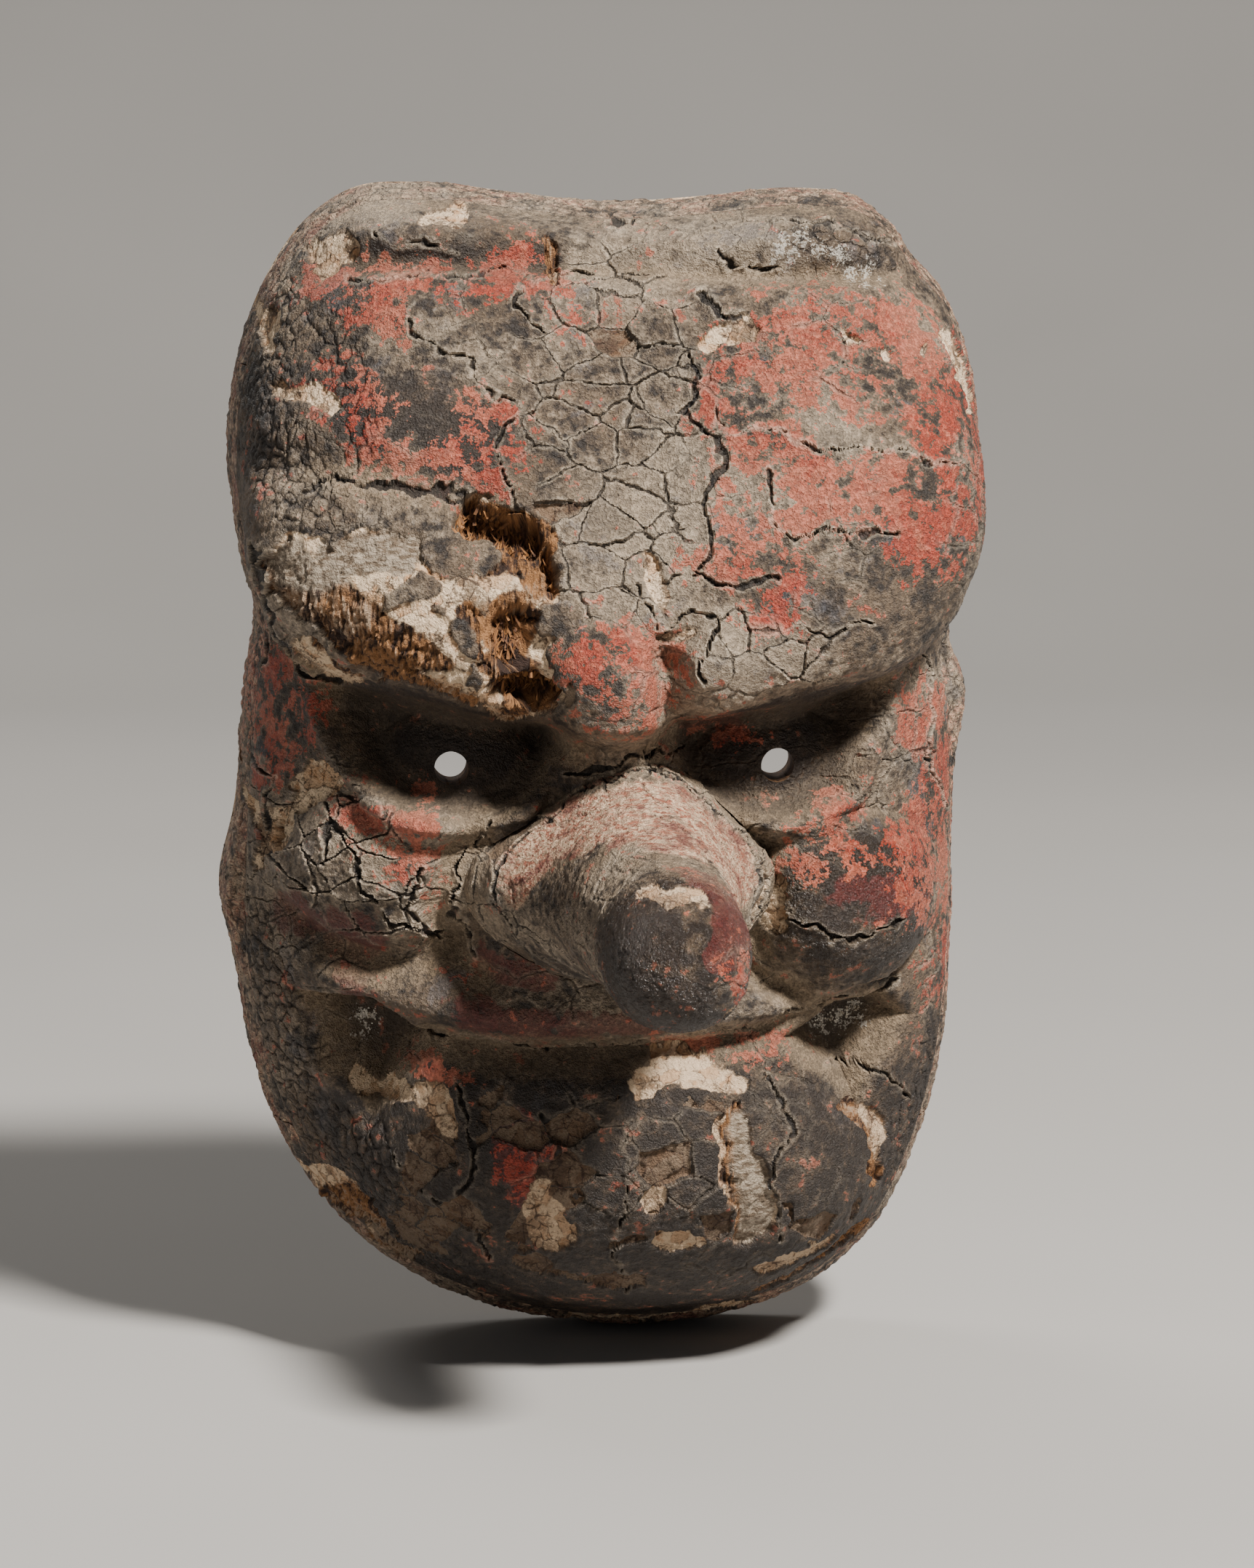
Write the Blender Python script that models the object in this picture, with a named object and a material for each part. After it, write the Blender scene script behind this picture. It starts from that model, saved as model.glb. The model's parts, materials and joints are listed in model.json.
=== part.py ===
"""A carved goblin mask of joined wood blocks, for the stage or a procession.

One deep front block carries the whole face. Behind a seam that runs round the sides, four
strips (crown, chin and two sides) make the mask deep enough to sit over a wearer's face.
Dowels and iron staples hold the strips, and the long nose is a piece of its own, whose
tenon goes through the face and is spread by a wedge from inside.

Frame: metres, +Z up, the face looks along -Y, the back of the rim is the plane y = 0, and
the origin is the middle of that plane, level with the pupils and halfway between the two
cord holes. Left and right are as seen by someone looking at the face.
"""

import math

import bmesh
import bpy
import numpy as np
from mathutils import Matrix, Vector

MM = 0.001

# Overall sizes
MASK_WIDTH = 150 * MM
MASK_HEIGHT = 235 * MM
FACE_DEPTH = 62 * MM  # from the back of the rim to the ground that the features are carved on

# The hollow behind the face
SIDE_WALL = 10 * MM
FRONT_WALL = 16 * MM

# Where the blocks meet
SEAM_DEPTH = 24 * MM  # the seam between the front block and the strips, from the back
CROWN_STRIP_HEIGHT = 37.5 * MM  # from the top of the mask down to the joints with the side strips
CHIN_STRIP_HEIGHT = 43.5 * MM
CROWN_JOINT = MASK_HEIGHT / 2 - CROWN_STRIP_HEIGHT
CHIN_JOINT = CHIN_STRIP_HEIGHT - MASK_HEIGHT / 2
GAP = 0.3 * MM  # left between any two pieces

# Holes for looking out and for the cord
EYE_HOLE_SPACING = 64 * MM
EYE_HOLE_HEIGHT = 3.4 * MM
EYE_HOLE_DIAMETER = 6.6 * MM
CORD_HOLE_DIAMETER = 7 * MM
CORD_HOLE_FROM_BACK = 12 * MM

# Fasteners
DOWEL_DIAMETER = 4 * MM
DOWEL_LENGTH = 18 * MM
DOWEL_SIDES = 10
STAPLE_SPAN = 18 * MM
STAPLE_LEG = 8 * MM
STAPLE_SECTION = 1.8 * MM

# The nose
NOSE_LENGTH = 84 * MM  # from its seat in the face to its tip
NOSE_SEAT_DEPTH = 55 * MM  # the flat floor of its seat, from the back of the rim
TENON_WIDTH = 17 * MM
TENON_HEIGHT = 20 * MM
WEDGE_THICKNESS = 2.6 * MM
WEDGE_LENGTH = 9 * MM
NOSE_SIDES = 40
NOSE_LEAN = 4.0  # how far the top of its root leans to the right, on the pattern below

# The carver's pattern is drawn at 150 by 235 mm and stretched to the mask's size. Every
# place and radius of a carved feature below is in millimetres on that pattern, x to the
# right and z up from the middle.
PATTERN_WIDTH, PATTERN_HEIGHT = 150.0, 235.0
TO_X = MASK_WIDTH / PATTERN_WIDTH
TO_Z = MASK_HEIGHT / PATTERN_HEIGHT
TO_Y = TO_X  # carved heights follow the width

# The mask's outline, clockwise from the middle of the crown.
OUTLINE = [
    (0, 111), (22, 112), (42, 113.5), (52, 112), (58.5, 107), (62.5, 101.5), (69, 94), (74, 82),
    (76.5, 66), (76, 47), (72.5, 33), (70, 25), (71.4, 12), (72, -6), (72.2, -26), (72, -46),
    (70, -66), (65.5, -83), (58, -99), (45.5, -111), (28.5, -118), (8, -120.5),
    (-11, -119), (-29, -114), (-46, -104.5), (-59, -91), (-68, -74), (-73, -55),
    (-75, -37), (-74.4, -18), (-73.2, 2), (-71.2, 20), (-70, 29), (-73, 43),
    (-75, 62), (-72.5, 82), (-66.5, 97), (-58.5, 108), (-49, 114), (-36, 115), (-18, 113),
]

# How boxy the mask's cross-sections are: 2 is an ellipse, and more is squarer.
BOXY_CROWN, BOXY_SIDE, BOXY_CHIN = 3.0, 2.7, 2.35

GRID_ACROSS, GRID_UP = 111, 163  # faces of the carved surface before it is thinned
KEPT_FACES = 0.17  # share of them kept, where the surface bends
RIM_STEPS = 100  # faces round the rim
HOLLOW_ACROSS, HOLLOW_UP = 16, 24
SIDE_SPACING = 2.6  # how much wider apart the grid's rings are on the sides than on the face


def smooth(low, high, value):
    """0 below low, 1 above high, and a smooth ramp between."""
    share = np.clip((value - low) / (high - low), 0, 1)
    return share * share * (3 - 2 * share)


def through(points, at):
    """A smooth curve through points (x, y), read at the given x."""
    xs, ys = np.array(points, float).T
    slope = np.gradient(ys, xs)
    i = np.clip(np.searchsorted(xs, at) - 1, 0, len(xs) - 2)
    span = xs[i + 1] - xs[i]
    t = np.clip((at - xs[i]) / span, 0, 1)
    return (
        (1 + 2 * t) * (1 - t) ** 2 * ys[i] + t * (1 - t) ** 2 * span * slope[i]
        + t * t * (3 - 2 * t) * ys[i + 1] - t * t * (1 - t) * span * slope[i + 1]
    )


def lump(x, z, centre, radii, tilt, height, fullness=3.0):
    """A rounded mass that ends at its radii, and stays high for longer the fuller it is."""
    c, s = math.cos(math.radians(tilt)), math.sin(math.radians(tilt))
    dx, dz = x - centre[0], z - centre[1]
    r = np.hypot((dx * c + dz * s) / radii[0], (dz * c - dx * s) / radii[1])
    return height * np.clip(1 - r**fullness, 0, 1)


def swell(x, z, centre, radii, height):
    """A mound with no edge."""
    r2 = ((x - centre[0]) / radii[0]) ** 2 + ((z - centre[1]) / radii[1]) ** 2
    return height * np.exp(-r2)


def from_path(x, z, path):
    """The distance from the nearest point of a line through the path's points."""
    nearest = np.full(np.shape(x), np.inf)
    for (ax, az), (bx, bz) in zip(path, path[1:]):
        dx, dz = bx - ax, bz - az
        t = np.clip(((x - ax) * dx + (z - az) * dz) / (dx * dx + dz * dz), 0, 1)
        nearest = np.minimum(nearest, np.hypot(x - ax - t * dx, z - az - t * dz))
    return nearest


def stroke(x, z, path, width, height):
    """A ridge along a path, or a groove where the height is negative."""
    return height * np.exp(-((from_path(x, z, path) / width) ** 2))


def pit(x, z, corners, soft, depth):
    """A hollow with straight sides between corners given anticlockwise."""
    inside = np.full(np.shape(x), np.inf)
    for (ax, az), (bx, bz) in zip(corners, corners[1:] + corners[:1]):
        away = ((bx - ax) * (z - az) - (bz - az) * (x - ax)) / math.hypot(bx - ax, bz - az)
        inside = np.minimum(inside, away)
    return -depth * smooth(-soft, soft, inside)


BROW_EDGE = [
    (-84, 44), (-74, 38), (-68, 31), (-61, 24.5), (-55, 20.5), (-46, 17.5), (-34, 15), (-23, 13.5),
    (-14, 13), (-7, 11.5), (1, 11), (8, 12), (13, 14.8), (19, 14.4), (31, 14), (40, 15.6),
    (50, 19.4), (58, 24), (66, 30), (74, 37), (84, 44),
]
LEFT_EYE = [(-12, 8), (-12, 18), (-40, 20), (-57, 25), (-57, 14), (-51, 4), (-41, -3), (-30, -5), (-19, -2.5)]
RIGHT_EYE = [(53, 14), (53, 25), (34, 19), (14, 18), (11.5, 7), (16, -0.5), (24, -5), (34, -5.6), (45, -1.6)]


def brow(x, z):
    """The heavy brow, which overhangs the eyes and melts into the forehead."""
    above = z - through(BROW_EDGE, x)
    face = 0.7 * smooth(-3.2, 3.4, above) + 0.3 * smooth(-1, 14, above)
    return 16 * face * (1 - 0.94 * smooth(8, 70, above)) * smooth(96, 62, np.abs(x))


def eye(x, z, lids, side):
    """The socket inside its lids, and the ball of the eye in it."""
    socket = pit(x, z, lids, 3.2, 11)
    ball = lump(x, z, (side * 33, 2), (20, 13), side * 10, 6.5, 2.4)
    rim = stroke(x, z, lids[-5:] if side < 0 else lids[-5:] + lids[:1], 3.4, 2.6)
    return socket + ball + rim


def features(x, z):
    """Height of the carving over its ground, in millimetres on the pattern."""
    h = brow(x, z)
    # The left brow stands out from the forehead, which has a boss on either side.
    h += stroke(x, z, [(-74, 62), (-60, 58.5), (-50, 60), (-41, 59.5), (-30, 57), (-22, 53)], 5, -2.2)
    h += stroke(x, z, [(-71, 52), (-69, 40), (-64, 30)], 3.4, -2.0)
    h += swell(x, z, (-44, 40), (20, 12), 2.4) + swell(x, z, (-38, 74), (22, 18), 2.6)
    h += swell(x, z, (43, 62), (24, 26), 2.6)
    # The rolled band of the crown and the groove under it.
    h += stroke(x, z, [(-60, 99), (-47, 101.5), (-34, 101.5), (-10, 100.5), (28, 100), (60, 99)], 3.4, -3.8)
    h += stroke(x, z, [(-52, 109), (-20, 108.5), (12, 105.5), (30, 107), (52, 107)], 5, 2.2)
    # The knot of the frown, the creases beside it and the inner end of the right brow.
    h += lump(x, z, (-3, 20), (12.5, 15), 0, 4.0, 2.2)
    h += stroke(x, z, [(15, 42), (11, 33), (8, 26)], 3.6, -1.6)
    h += stroke(x, z, [(8.4, 26), (8.2, 21), (9.6, 16), (11, 9)], 3.2, -4.6)
    h += stroke(x, z, [(-16, 29), (-16.5, 20), (-15, 10)], 3.4, -3.4)
    h += swell(x, z, (17, 23), (8, 8), 2.8)
    # The bridge of the nose comes down out of the knot.
    h += swell(x, z, (-1, 5), (10, 10), 4.5)
    h += eye(x, z, LEFT_EYE, -1) + eye(x, z, RIGHT_EYE, 1)
    # Temples sink between the brow and the cheek.
    h += swell(x, z, (-69, 12), (8, 20), -3.5) + swell(x, z, (67, 12), (8, 18), -3.0)
    # Cheeks, and the folds that part them from the nose and the lip.
    h += lump(x, z, (47, -23.5), (21, 18), -6, 9.5, 2.6)
    h += lump(x, z, (-47, -17), (22, 16), 10, 5.5, 2.2)
    h += stroke(x, z, [(22, -6), (28.5, -13), (30.5, -23), (27, -33), (20, -40)], 3.2, -3.6)
    h += stroke(x, z, [(-24, -4), (-31.5, -13), (-35, -22), (-34, -30), (-27, -37)], 3.4, -3.6)
    h += stroke(x, z, [(24, -37), (33, -41.5), (44, -44), (54, -42), (66, -36)], 3.0, -5.0)
    h += stroke(x, z, [(-30, -29), (-38, -35), (-48, -35.5), (-58, -31), (-66, -26)], 3.4, -3.4)
    # Upper lip, the line of the mouth and the pits at its corners.
    h += stroke(x, z, [(-58, -37), (-46, -39.5), (-34, -43.5), (-16, -45.5), (4, -45.5), (24, -44), (40, -43)], 4.6, 3.4)
    h += stroke(x, z, [(40, -43), (52, -41), (64, -38)], 3.0, 3.0)
    h += stroke(x, z, [(-36, -50), (-28, -52), (-12, -53.2), (4, -53), (15, -52), (27, -50), (36, -47.4), (42, -46)], 3.0, -3.8)
    h += pit(x, z, [(-61, -45), (-57, -57.5), (-48, -66), (-38, -51.5), (-48, -44)], 3.4, 11.5)
    h += pit(x, z, [(36, -52.5), (49, -65.5), (59, -50.5), (55, -46), (46, -47.5)], 3.4, 9.5)
    # The chin, one broad mass whose upper edge is the lower lip.
    h += lump(x, z, (2, -92), (64, 39.5), -2, 14, 4.2)
    h += stroke(x, z, [(-40, -61), (-26, -57), (2, -56.5), (24, -56), (42, -60)], 3.6, 1.6)
    return h


def outline_radius(angle):
    """Distance from the middle to the outline of the pattern, in the given direction."""
    angle = np.arctan2(np.sin(angle), np.cos(angle))
    points = np.array(OUTLINE, float)
    around = np.arctan2(points[:, 1], points[:, 0])
    order = np.argsort(around)
    around, radius = around[order], np.hypot(*points[order].T)
    wrapped = np.concatenate([around[-3:] - 2 * math.pi, around, around[:3] + 2 * math.pi])
    return through(np.stack([wrapped, np.concatenate([radius[-3:], radius, radius[:3]])], 1), angle)


def boxiness(angle):
    up = np.sin(angle)
    return np.where(
        up > 0,
        BOXY_SIDE + (BOXY_CROWN - BOXY_SIDE) * smooth(0.2, 0.95, up),
        BOXY_SIDE + (BOXY_CHIN - BOXY_SIDE) * smooth(0.1, 0.9, -up),
    )


def square_to_polar(u, v):
    """Turns a square grid into rings: how far out, 0 to 1, and which way."""
    out = np.maximum(np.abs(u), np.abs(v))
    safe = np.where(out > 0, out, 1)
    sideways = np.abs(u) >= np.abs(v)
    quarter = math.pi / 4 * np.where(sideways, v, u) / safe
    angle = np.where(
        sideways,
        np.where(u >= 0, quarter, math.pi - quarter),
        np.where(v >= 0, math.pi / 2 - quarter, quarter - math.pi / 2),
    )
    return out, np.arctan2(np.sin(angle), np.cos(angle))


def ring_turns():
    """Where rings cross the dome's profile, from its front (0) to its rim (a quarter turn)."""
    turns = np.linspace(0, math.pi / 2, 1200)
    across = np.sin(turns) ** (2 / BOXY_SIDE) * PATTERN_HEIGHT * 0.42
    ahead = np.cos(turns) ** (2 / BOXY_SIDE) * FACE_DEPTH / MM
    steps = np.diff(across) + np.abs(np.diff(ahead)) / SIDE_SPACING
    run = np.concatenate([[0], np.cumsum(steps)])
    return run / run[-1], turns


def dome(out, angle, inset, depth, stop=0.0):
    """Points of a dome over the mask's outline, down to where it stops, and the way it faces."""
    power = boxiness(angle)
    last = np.arccos((stop / depth) ** (power / 2))
    turn = np.interp(out, *ring_turns()) * last / (math.pi / 2)
    across, forward = np.sin(turn) ** (2 / power), np.clip(np.cos(turn), 0, 1) ** (2 / power)
    forward = np.where(out >= 1, stop / depth, forward)
    radius = outline_radius(angle)
    edge = np.stack([radius * np.cos(angle) * TO_X, radius * np.sin(angle) * TO_Z], -1)
    length = np.linalg.norm(edge, axis=-1)
    edge = edge * ((length - inset) / length)[..., None]
    point = np.stack([edge[..., 0] * across, -depth * forward, edge[..., 1] * across], -1)
    outward = across ** (power - 1) / length
    ahead = forward ** (power - 1) / depth
    way = np.stack([np.cos(angle) * outward, -ahead, np.sin(angle) * outward], -1)
    return point, way / np.linalg.norm(way, axis=-1)[..., None]


def ear(point):
    """What is left of the ears on the side strips, as a height in metres."""
    x, y, z = point[..., 0] / TO_X, -point[..., 1] / MM, point[..., 2] / TO_Z
    back = 1 - smooth(SEAM_DEPTH / MM - 5, SEAM_DEPTH / MM, y)
    right = np.exp(-(((z - 13) / 12) ** 2)) * (x > 60)
    left = np.exp(-(((z + 26) / 11) ** 2)) * (x < -60)
    return 3.2 * TO_Y * back * (left + right)


def carve(u, v):
    """The carved front of the face block at the square grid's points."""
    out, angle = square_to_polar(u, v)
    point, way = dome(out, angle, 0, FACE_DEPTH, SEAM_DEPTH + GAP / 2)
    height = features(point[..., 0] / TO_X, point[..., 2] / TO_Z) * TO_Y
    facing = smooth(SEAM_DEPTH / FACE_DEPTH, 0.84, -point[..., 1] / FACE_DEPTH)
    return point + way * (height * facing)[..., None]


def new_object(name, bm, collection):
    mesh = bpy.data.meshes.new(name)
    bm.to_mesh(mesh)
    bm.free()
    obj = bpy.data.objects.new(name, mesh)
    collection.objects.link(obj)
    return obj


def shaped_grid(across, up, shape):
    """A grid whose points are moved by shape(u, v), with its open back closed flat."""
    bm = bmesh.new()
    bmesh.ops.create_grid(bm, x_segments=across, y_segments=up, size=1)
    flat = np.array([v.co for v in bm.verts])
    for vert, place in zip(bm.verts, shape(flat[:, 0], flat[:, 1])):
        vert.co = place
    bmesh.ops.holes_fill(bm, edges=[e for e in bm.edges if e.is_boundary], sides=0)
    bmesh.ops.recalc_face_normals(bm, faces=bm.faces)
    return bm


def hollow_surface(u, v):
    """The smooth hollow behind the face, reaching out of the back."""
    out, angle = square_to_polar(u, v)
    point, _ = dome(np.minimum(out / 0.96, 1), angle, SIDE_WALL, FACE_DEPTH - FRONT_WALL)
    point[..., 1] = np.where(out >= 1, 4 * MM, point[..., 1])
    return point


def cylinder(name, start, end, diameter, sides, collection, taper=1.0):
    """A round bar between two points."""
    bm = bmesh.new()
    axis = Vector(end) - Vector(start)
    bmesh.ops.create_cone(
        bm, cap_ends=True, segments=sides, radius1=diameter / 2, radius2=diameter / 2 * taper,
        depth=axis.length, matrix=Matrix.Rotation(math.pi / sides, 4, "Z"),
    )
    obj = new_object(name, bm, collection)
    obj.rotation_mode = "QUATERNION"
    obj.rotation_quaternion = axis.to_track_quat("Z", "X")
    obj.location = (Vector(start) + Vector(end)) / 2
    return obj


def box(name, low, high, collection):
    bm = bmesh.new()
    bmesh.ops.create_cube(bm, size=1)
    size = Vector(high) - Vector(low)
    bmesh.ops.scale(bm, vec=size, verts=bm.verts)
    obj = new_object(name, bm, collection)
    obj.location = (Vector(low) + Vector(high)) / 2
    return obj


def thin(obj):
    """Keep the carved surface's faces where it bends, and join them where it is plain."""
    modifier = obj.modifiers.new("thin", "DECIMATE")
    modifier.decimate_type = "COLLAPSE"
    modifier.ratio = KEPT_FACES


def combine(obj, other, operation, solver="MANIFOLD"):
    """A Boolean. The Manifold solver suits the plain shapes, and the exact one the carved face."""
    modifier = obj.modifiers.new(operation.lower() + "_" + other.name, "BOOLEAN")
    modifier.operation = operation
    modifier.object = other
    modifier.solver = solver
    return obj


def helper(obj):
    obj.hide_render = True
    obj.display_type = "WIRE"
    return obj


def wall(angle, from_back):
    """The outer and inner points of the side wall in one direction, at a depth from the rim's back."""
    out = np.linspace(0.3, 1, 500)
    turned = np.full_like(out, angle)
    outer, way = dome(out, turned, 0, FACE_DEPTH)
    outer = outer + way * ear(outer)[..., None]
    inner, _ = dome(out, turned, SIDE_WALL, FACE_DEPTH - FRONT_WALL)
    return [
        Vector((
            np.interp(from_back, -side[::-1, 1], side[::-1, 0]), -from_back,
            np.interp(from_back, -side[::-1, 1], side[::-1, 2]),
        ))
        for side in (outer, inner)
    ]


def wall_middle(angle, from_back):
    outer, inner = wall(angle, from_back)
    return (outer + inner) / 2


def rim_ring():
    """The rim behind the seam: a square section, four faces deep, carried round the outline."""
    front = SEAM_DEPTH - GAP / 2
    depths = [front * (1 - k / 4) for k in range(5)]
    sections = []
    for step in range(RIM_STEPS):
        pairs = [wall((step + 0.5) / RIM_STEPS * 2 * math.pi - math.pi, depth) for depth in depths]
        outer, inner = [pair[0] for pair in pairs], [pair[1] for pair in pairs]
        back, face = (outer[4] + inner[4]) / 2, (outer[0] + inner[0]) / 2
        sections.append([*outer, back, *inner[::-1], face])
    bm = bmesh.new()
    bmesh.ops.create_grid(bm, x_segments=RIM_STEPS, y_segments=len(sections[0]), size=1)
    for vert in bm.verts:
        step = round((vert.co.x + 1) / 2 * RIM_STEPS) % RIM_STEPS
        place = round((vert.co.y + 1) / 2 * len(sections[0])) % len(sections[0])
        vert.co = sections[step][place]
    bmesh.ops.remove_doubles(bm, verts=bm.verts, dist=GAP / 100)
    bmesh.ops.recalc_face_normals(bm, faces=bm.faces)
    return bm


def angle_at_height(height, side):
    """The direction in which the rim's middle line is at this height, on the left (-1) or right (1)."""
    angles = np.linspace(-math.pi / 2, math.pi / 2, 400)
    if side < 0:
        angles = math.pi - angles
    heights = np.array([wall_middle(a, 0)[2] for a in angles])
    return float(np.interp(height, heights, angles))


# The nose's sections from its seat to its tip: how far along, the centre's x and z, half
# the width, half the height, and how far the section is the arch of the root (1) or round (0).
NOSE_SECTIONS = [
    (0.000, 0.6, -15.5, 30.5, 22.0, 1.0), (0.075, 0.6, -15.5, 30.5, 22.0, 1.0),
    (0.130, 0.9, -15.8, 28.0, 20.6, 0.9), (0.200, 1.6, -16.4, 24.4, 19.0, 0.7),
    (0.290, 2.6, -17.2, 21.0, 17.6, 0.45), (0.390, 3.6, -18.0, 18.3, 16.3, 0.2),
    (0.500, 4.6, -18.9, 16.4, 15.2, 0.05), (0.610, 5.4, -19.7, 15.0, 14.4, 0.0),
    (0.710, 6.1, -20.4, 14.2, 14.0, 0.0), (0.790, 6.6, -21.0, 14.0, 14.0, 0.0),
    (0.860, 7.0, -21.5, 13.4, 13.4, 0.0), (0.920, 7.3, -22.0, 11.6, 11.6, 0.0),
    (0.965, 7.5, -22.3, 8.2, 8.2, 0.0), (0.990, 7.6, -22.5, 4.5, 4.5, 0.0),
]


def nose_ring(section, grow):
    """One ring of points round the nose."""
    along, x, z, wide, high, arch = section
    around = np.linspace(0, 2 * math.pi, NOSE_SIDES, endpoint=False) + math.pi / 2
    c, s = np.cos(around), np.sin(around)
    rise = arch * smooth(-0.2, 1.0, s)
    drop = 1 + 0.04 * arch * np.abs(c)
    xs = (x + wide * c * (1 - 0.52 * rise) + NOSE_LEAN * rise) * TO_X + grow * c
    zs = (z + high * s * drop) * TO_Z + grow * s
    return [Vector((a, -NOSE_SEAT_DEPTH - along * NOSE_LENGTH, b)) for a, b in zip(xs, zs)]


def loft(rings, tip):
    """A closed solid through rings of points, ended by a flat face and a tip."""
    bm = bmesh.new()
    rows = [[bm.verts.new(p) for p in ring] for ring in rings]
    end = bm.verts.new(tip)
    count = len(rows[0])
    for lower, upper in zip(rows, rows[1:]):
        for i in range(count):
            j = (i + 1) % count
            bm.faces.new((lower[i], lower[j], upper[j], upper[i]))
    for i in range(count):
        bm.faces.new((rows[-1][i], rows[-1][(i + 1) % count], end))
    bm.faces.new(rows[0][::-1])
    bmesh.ops.recalc_face_normals(bm, faces=bm.faces)
    return bm


def nose_solid(name, grow, sections, collection):
    rings = [nose_ring(s, grow) for s in sections]
    last = sections[-1]
    tip = Vector((last[1] * TO_X, -NOSE_SEAT_DEPTH - NOSE_LENGTH - grow, last[2] * TO_Z))
    if grow:
        rings[0] = [p + Vector((0, grow, 0)) for p in rings[0]]
    return new_object(name, loft(rings, tip), collection)


def tenon_centre():
    return NOSE_SECTIONS[0][1] * TO_X, NOSE_SECTIONS[0][2] * TO_Z


def tenon_box(name, grow, front, collection):
    """The nose's tenon, or the mortise for it, through the wall of the face."""
    x, z = tenon_centre()
    inside = FACE_DEPTH - FRONT_WALL
    half = Vector((TENON_WIDTH / 2 + grow, 0, TENON_HEIGHT / 2 + grow))
    back = -inside + (20 * MM if grow else -0.6 * MM)
    return box(name, (x - half.x, -front, z - half.z), (x + half.x, back, z + half.z), collection)


def wedge_solid(name, grow, collection):
    """The wedge that spreads the tenon, thick at the inside of the mask and thin in the tenon."""
    x, z = tenon_centre()
    inside = FACE_DEPTH - FRONT_WALL + 0.6 * MM
    slope = 0.6 * WEDGE_THICKNESS / WEDGE_LENGTH
    past = 8 * MM if grow else 0
    bm = bmesh.new()
    bmesh.ops.create_cube(bm, size=1)
    for v in bm.verts:
        back = v.co.y > 0
        along = past if back else -WEDGE_LENGTH - grow
        thick = WEDGE_THICKNESS + slope * along
        v.co = Vector((
            x + v.co.x * 2 * (thick / 2 + grow), -inside + along,
            z + v.co.z * 2 * (TENON_HEIGHT / 2 - 2 * MM + grow),
        ))
    return new_object(name, bm, collection)


def staple_shape(name, joint, tangent, grow, collection):
    """A flat iron staple let into the back of the rim across a joint, or the pocket for it."""
    half, section = STAPLE_SPAN / 2 + grow, STAPLE_SECTION / 2 + grow
    surface = 3 * MM if grow else -GAP
    sunk = -GAP - STAPLE_SECTION - grow
    bm = bmesh.new()
    bmesh.ops.create_cube(bm, size=1)
    for v in bm.verts:
        v.co = Vector((v.co.x * 2 * half, surface if v.co.y > 0 else sunk, v.co.z * 2 * section))
    bar = new_object(name, bm, collection)
    for end in (-1, 1):
        leg = bmesh.new()
        bmesh.ops.create_cube(leg, size=1)
        middle = end * (STAPLE_SPAN / 2 - STAPLE_SECTION / 2)
        for v in leg.verts:
            taper = 1 if v.co.y > 0 else 0.45
            v.co = Vector((
                middle + v.co.x * 2 * section * taper,
                -GAP - STAPLE_SECTION / 2 if v.co.y > 0 else sunk - STAPLE_LEG,
                v.co.z * 2 * section * taper * 0.98,
            ))
        post = helper(new_object(f"{name}_leg_{end}", leg, collection))
        post.parent = bar
        combine(bar, post, "UNION")
    turn = math.atan2(tangent.z, tangent.x)
    bar.matrix_world = Matrix.Translation(Vector((joint.x, 0, joint.z))) @ Matrix.Rotation(-turn, 4, "Y")
    return bar


def paint(obj, name, colour, roughness, metallic=0.0):
    material = bpy.data.materials.get(name) or bpy.data.materials.new(name)
    material.use_nodes = True
    shader = material.node_tree.nodes["Principled BSDF"]
    shader.inputs["Base Color"].default_value = (*colour, 1)
    shader.inputs["Roughness"].default_value = roughness
    shader.inputs["Metallic"].default_value = metallic
    obj.data.materials.append(material)
    obj.data.shade_smooth()
    obj.data.set_sharp_from_angle(angle=math.radians(40))


# How many dowels each strip has, as directions seen from the middle of the mask.
DOWEL_PLACES = {
    "crown": (62, 90, 118),
    "right": (-24, 8, 36),
    "left": (144, 172, 204),
    "chin": (-62, -88, -116),
}


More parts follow.
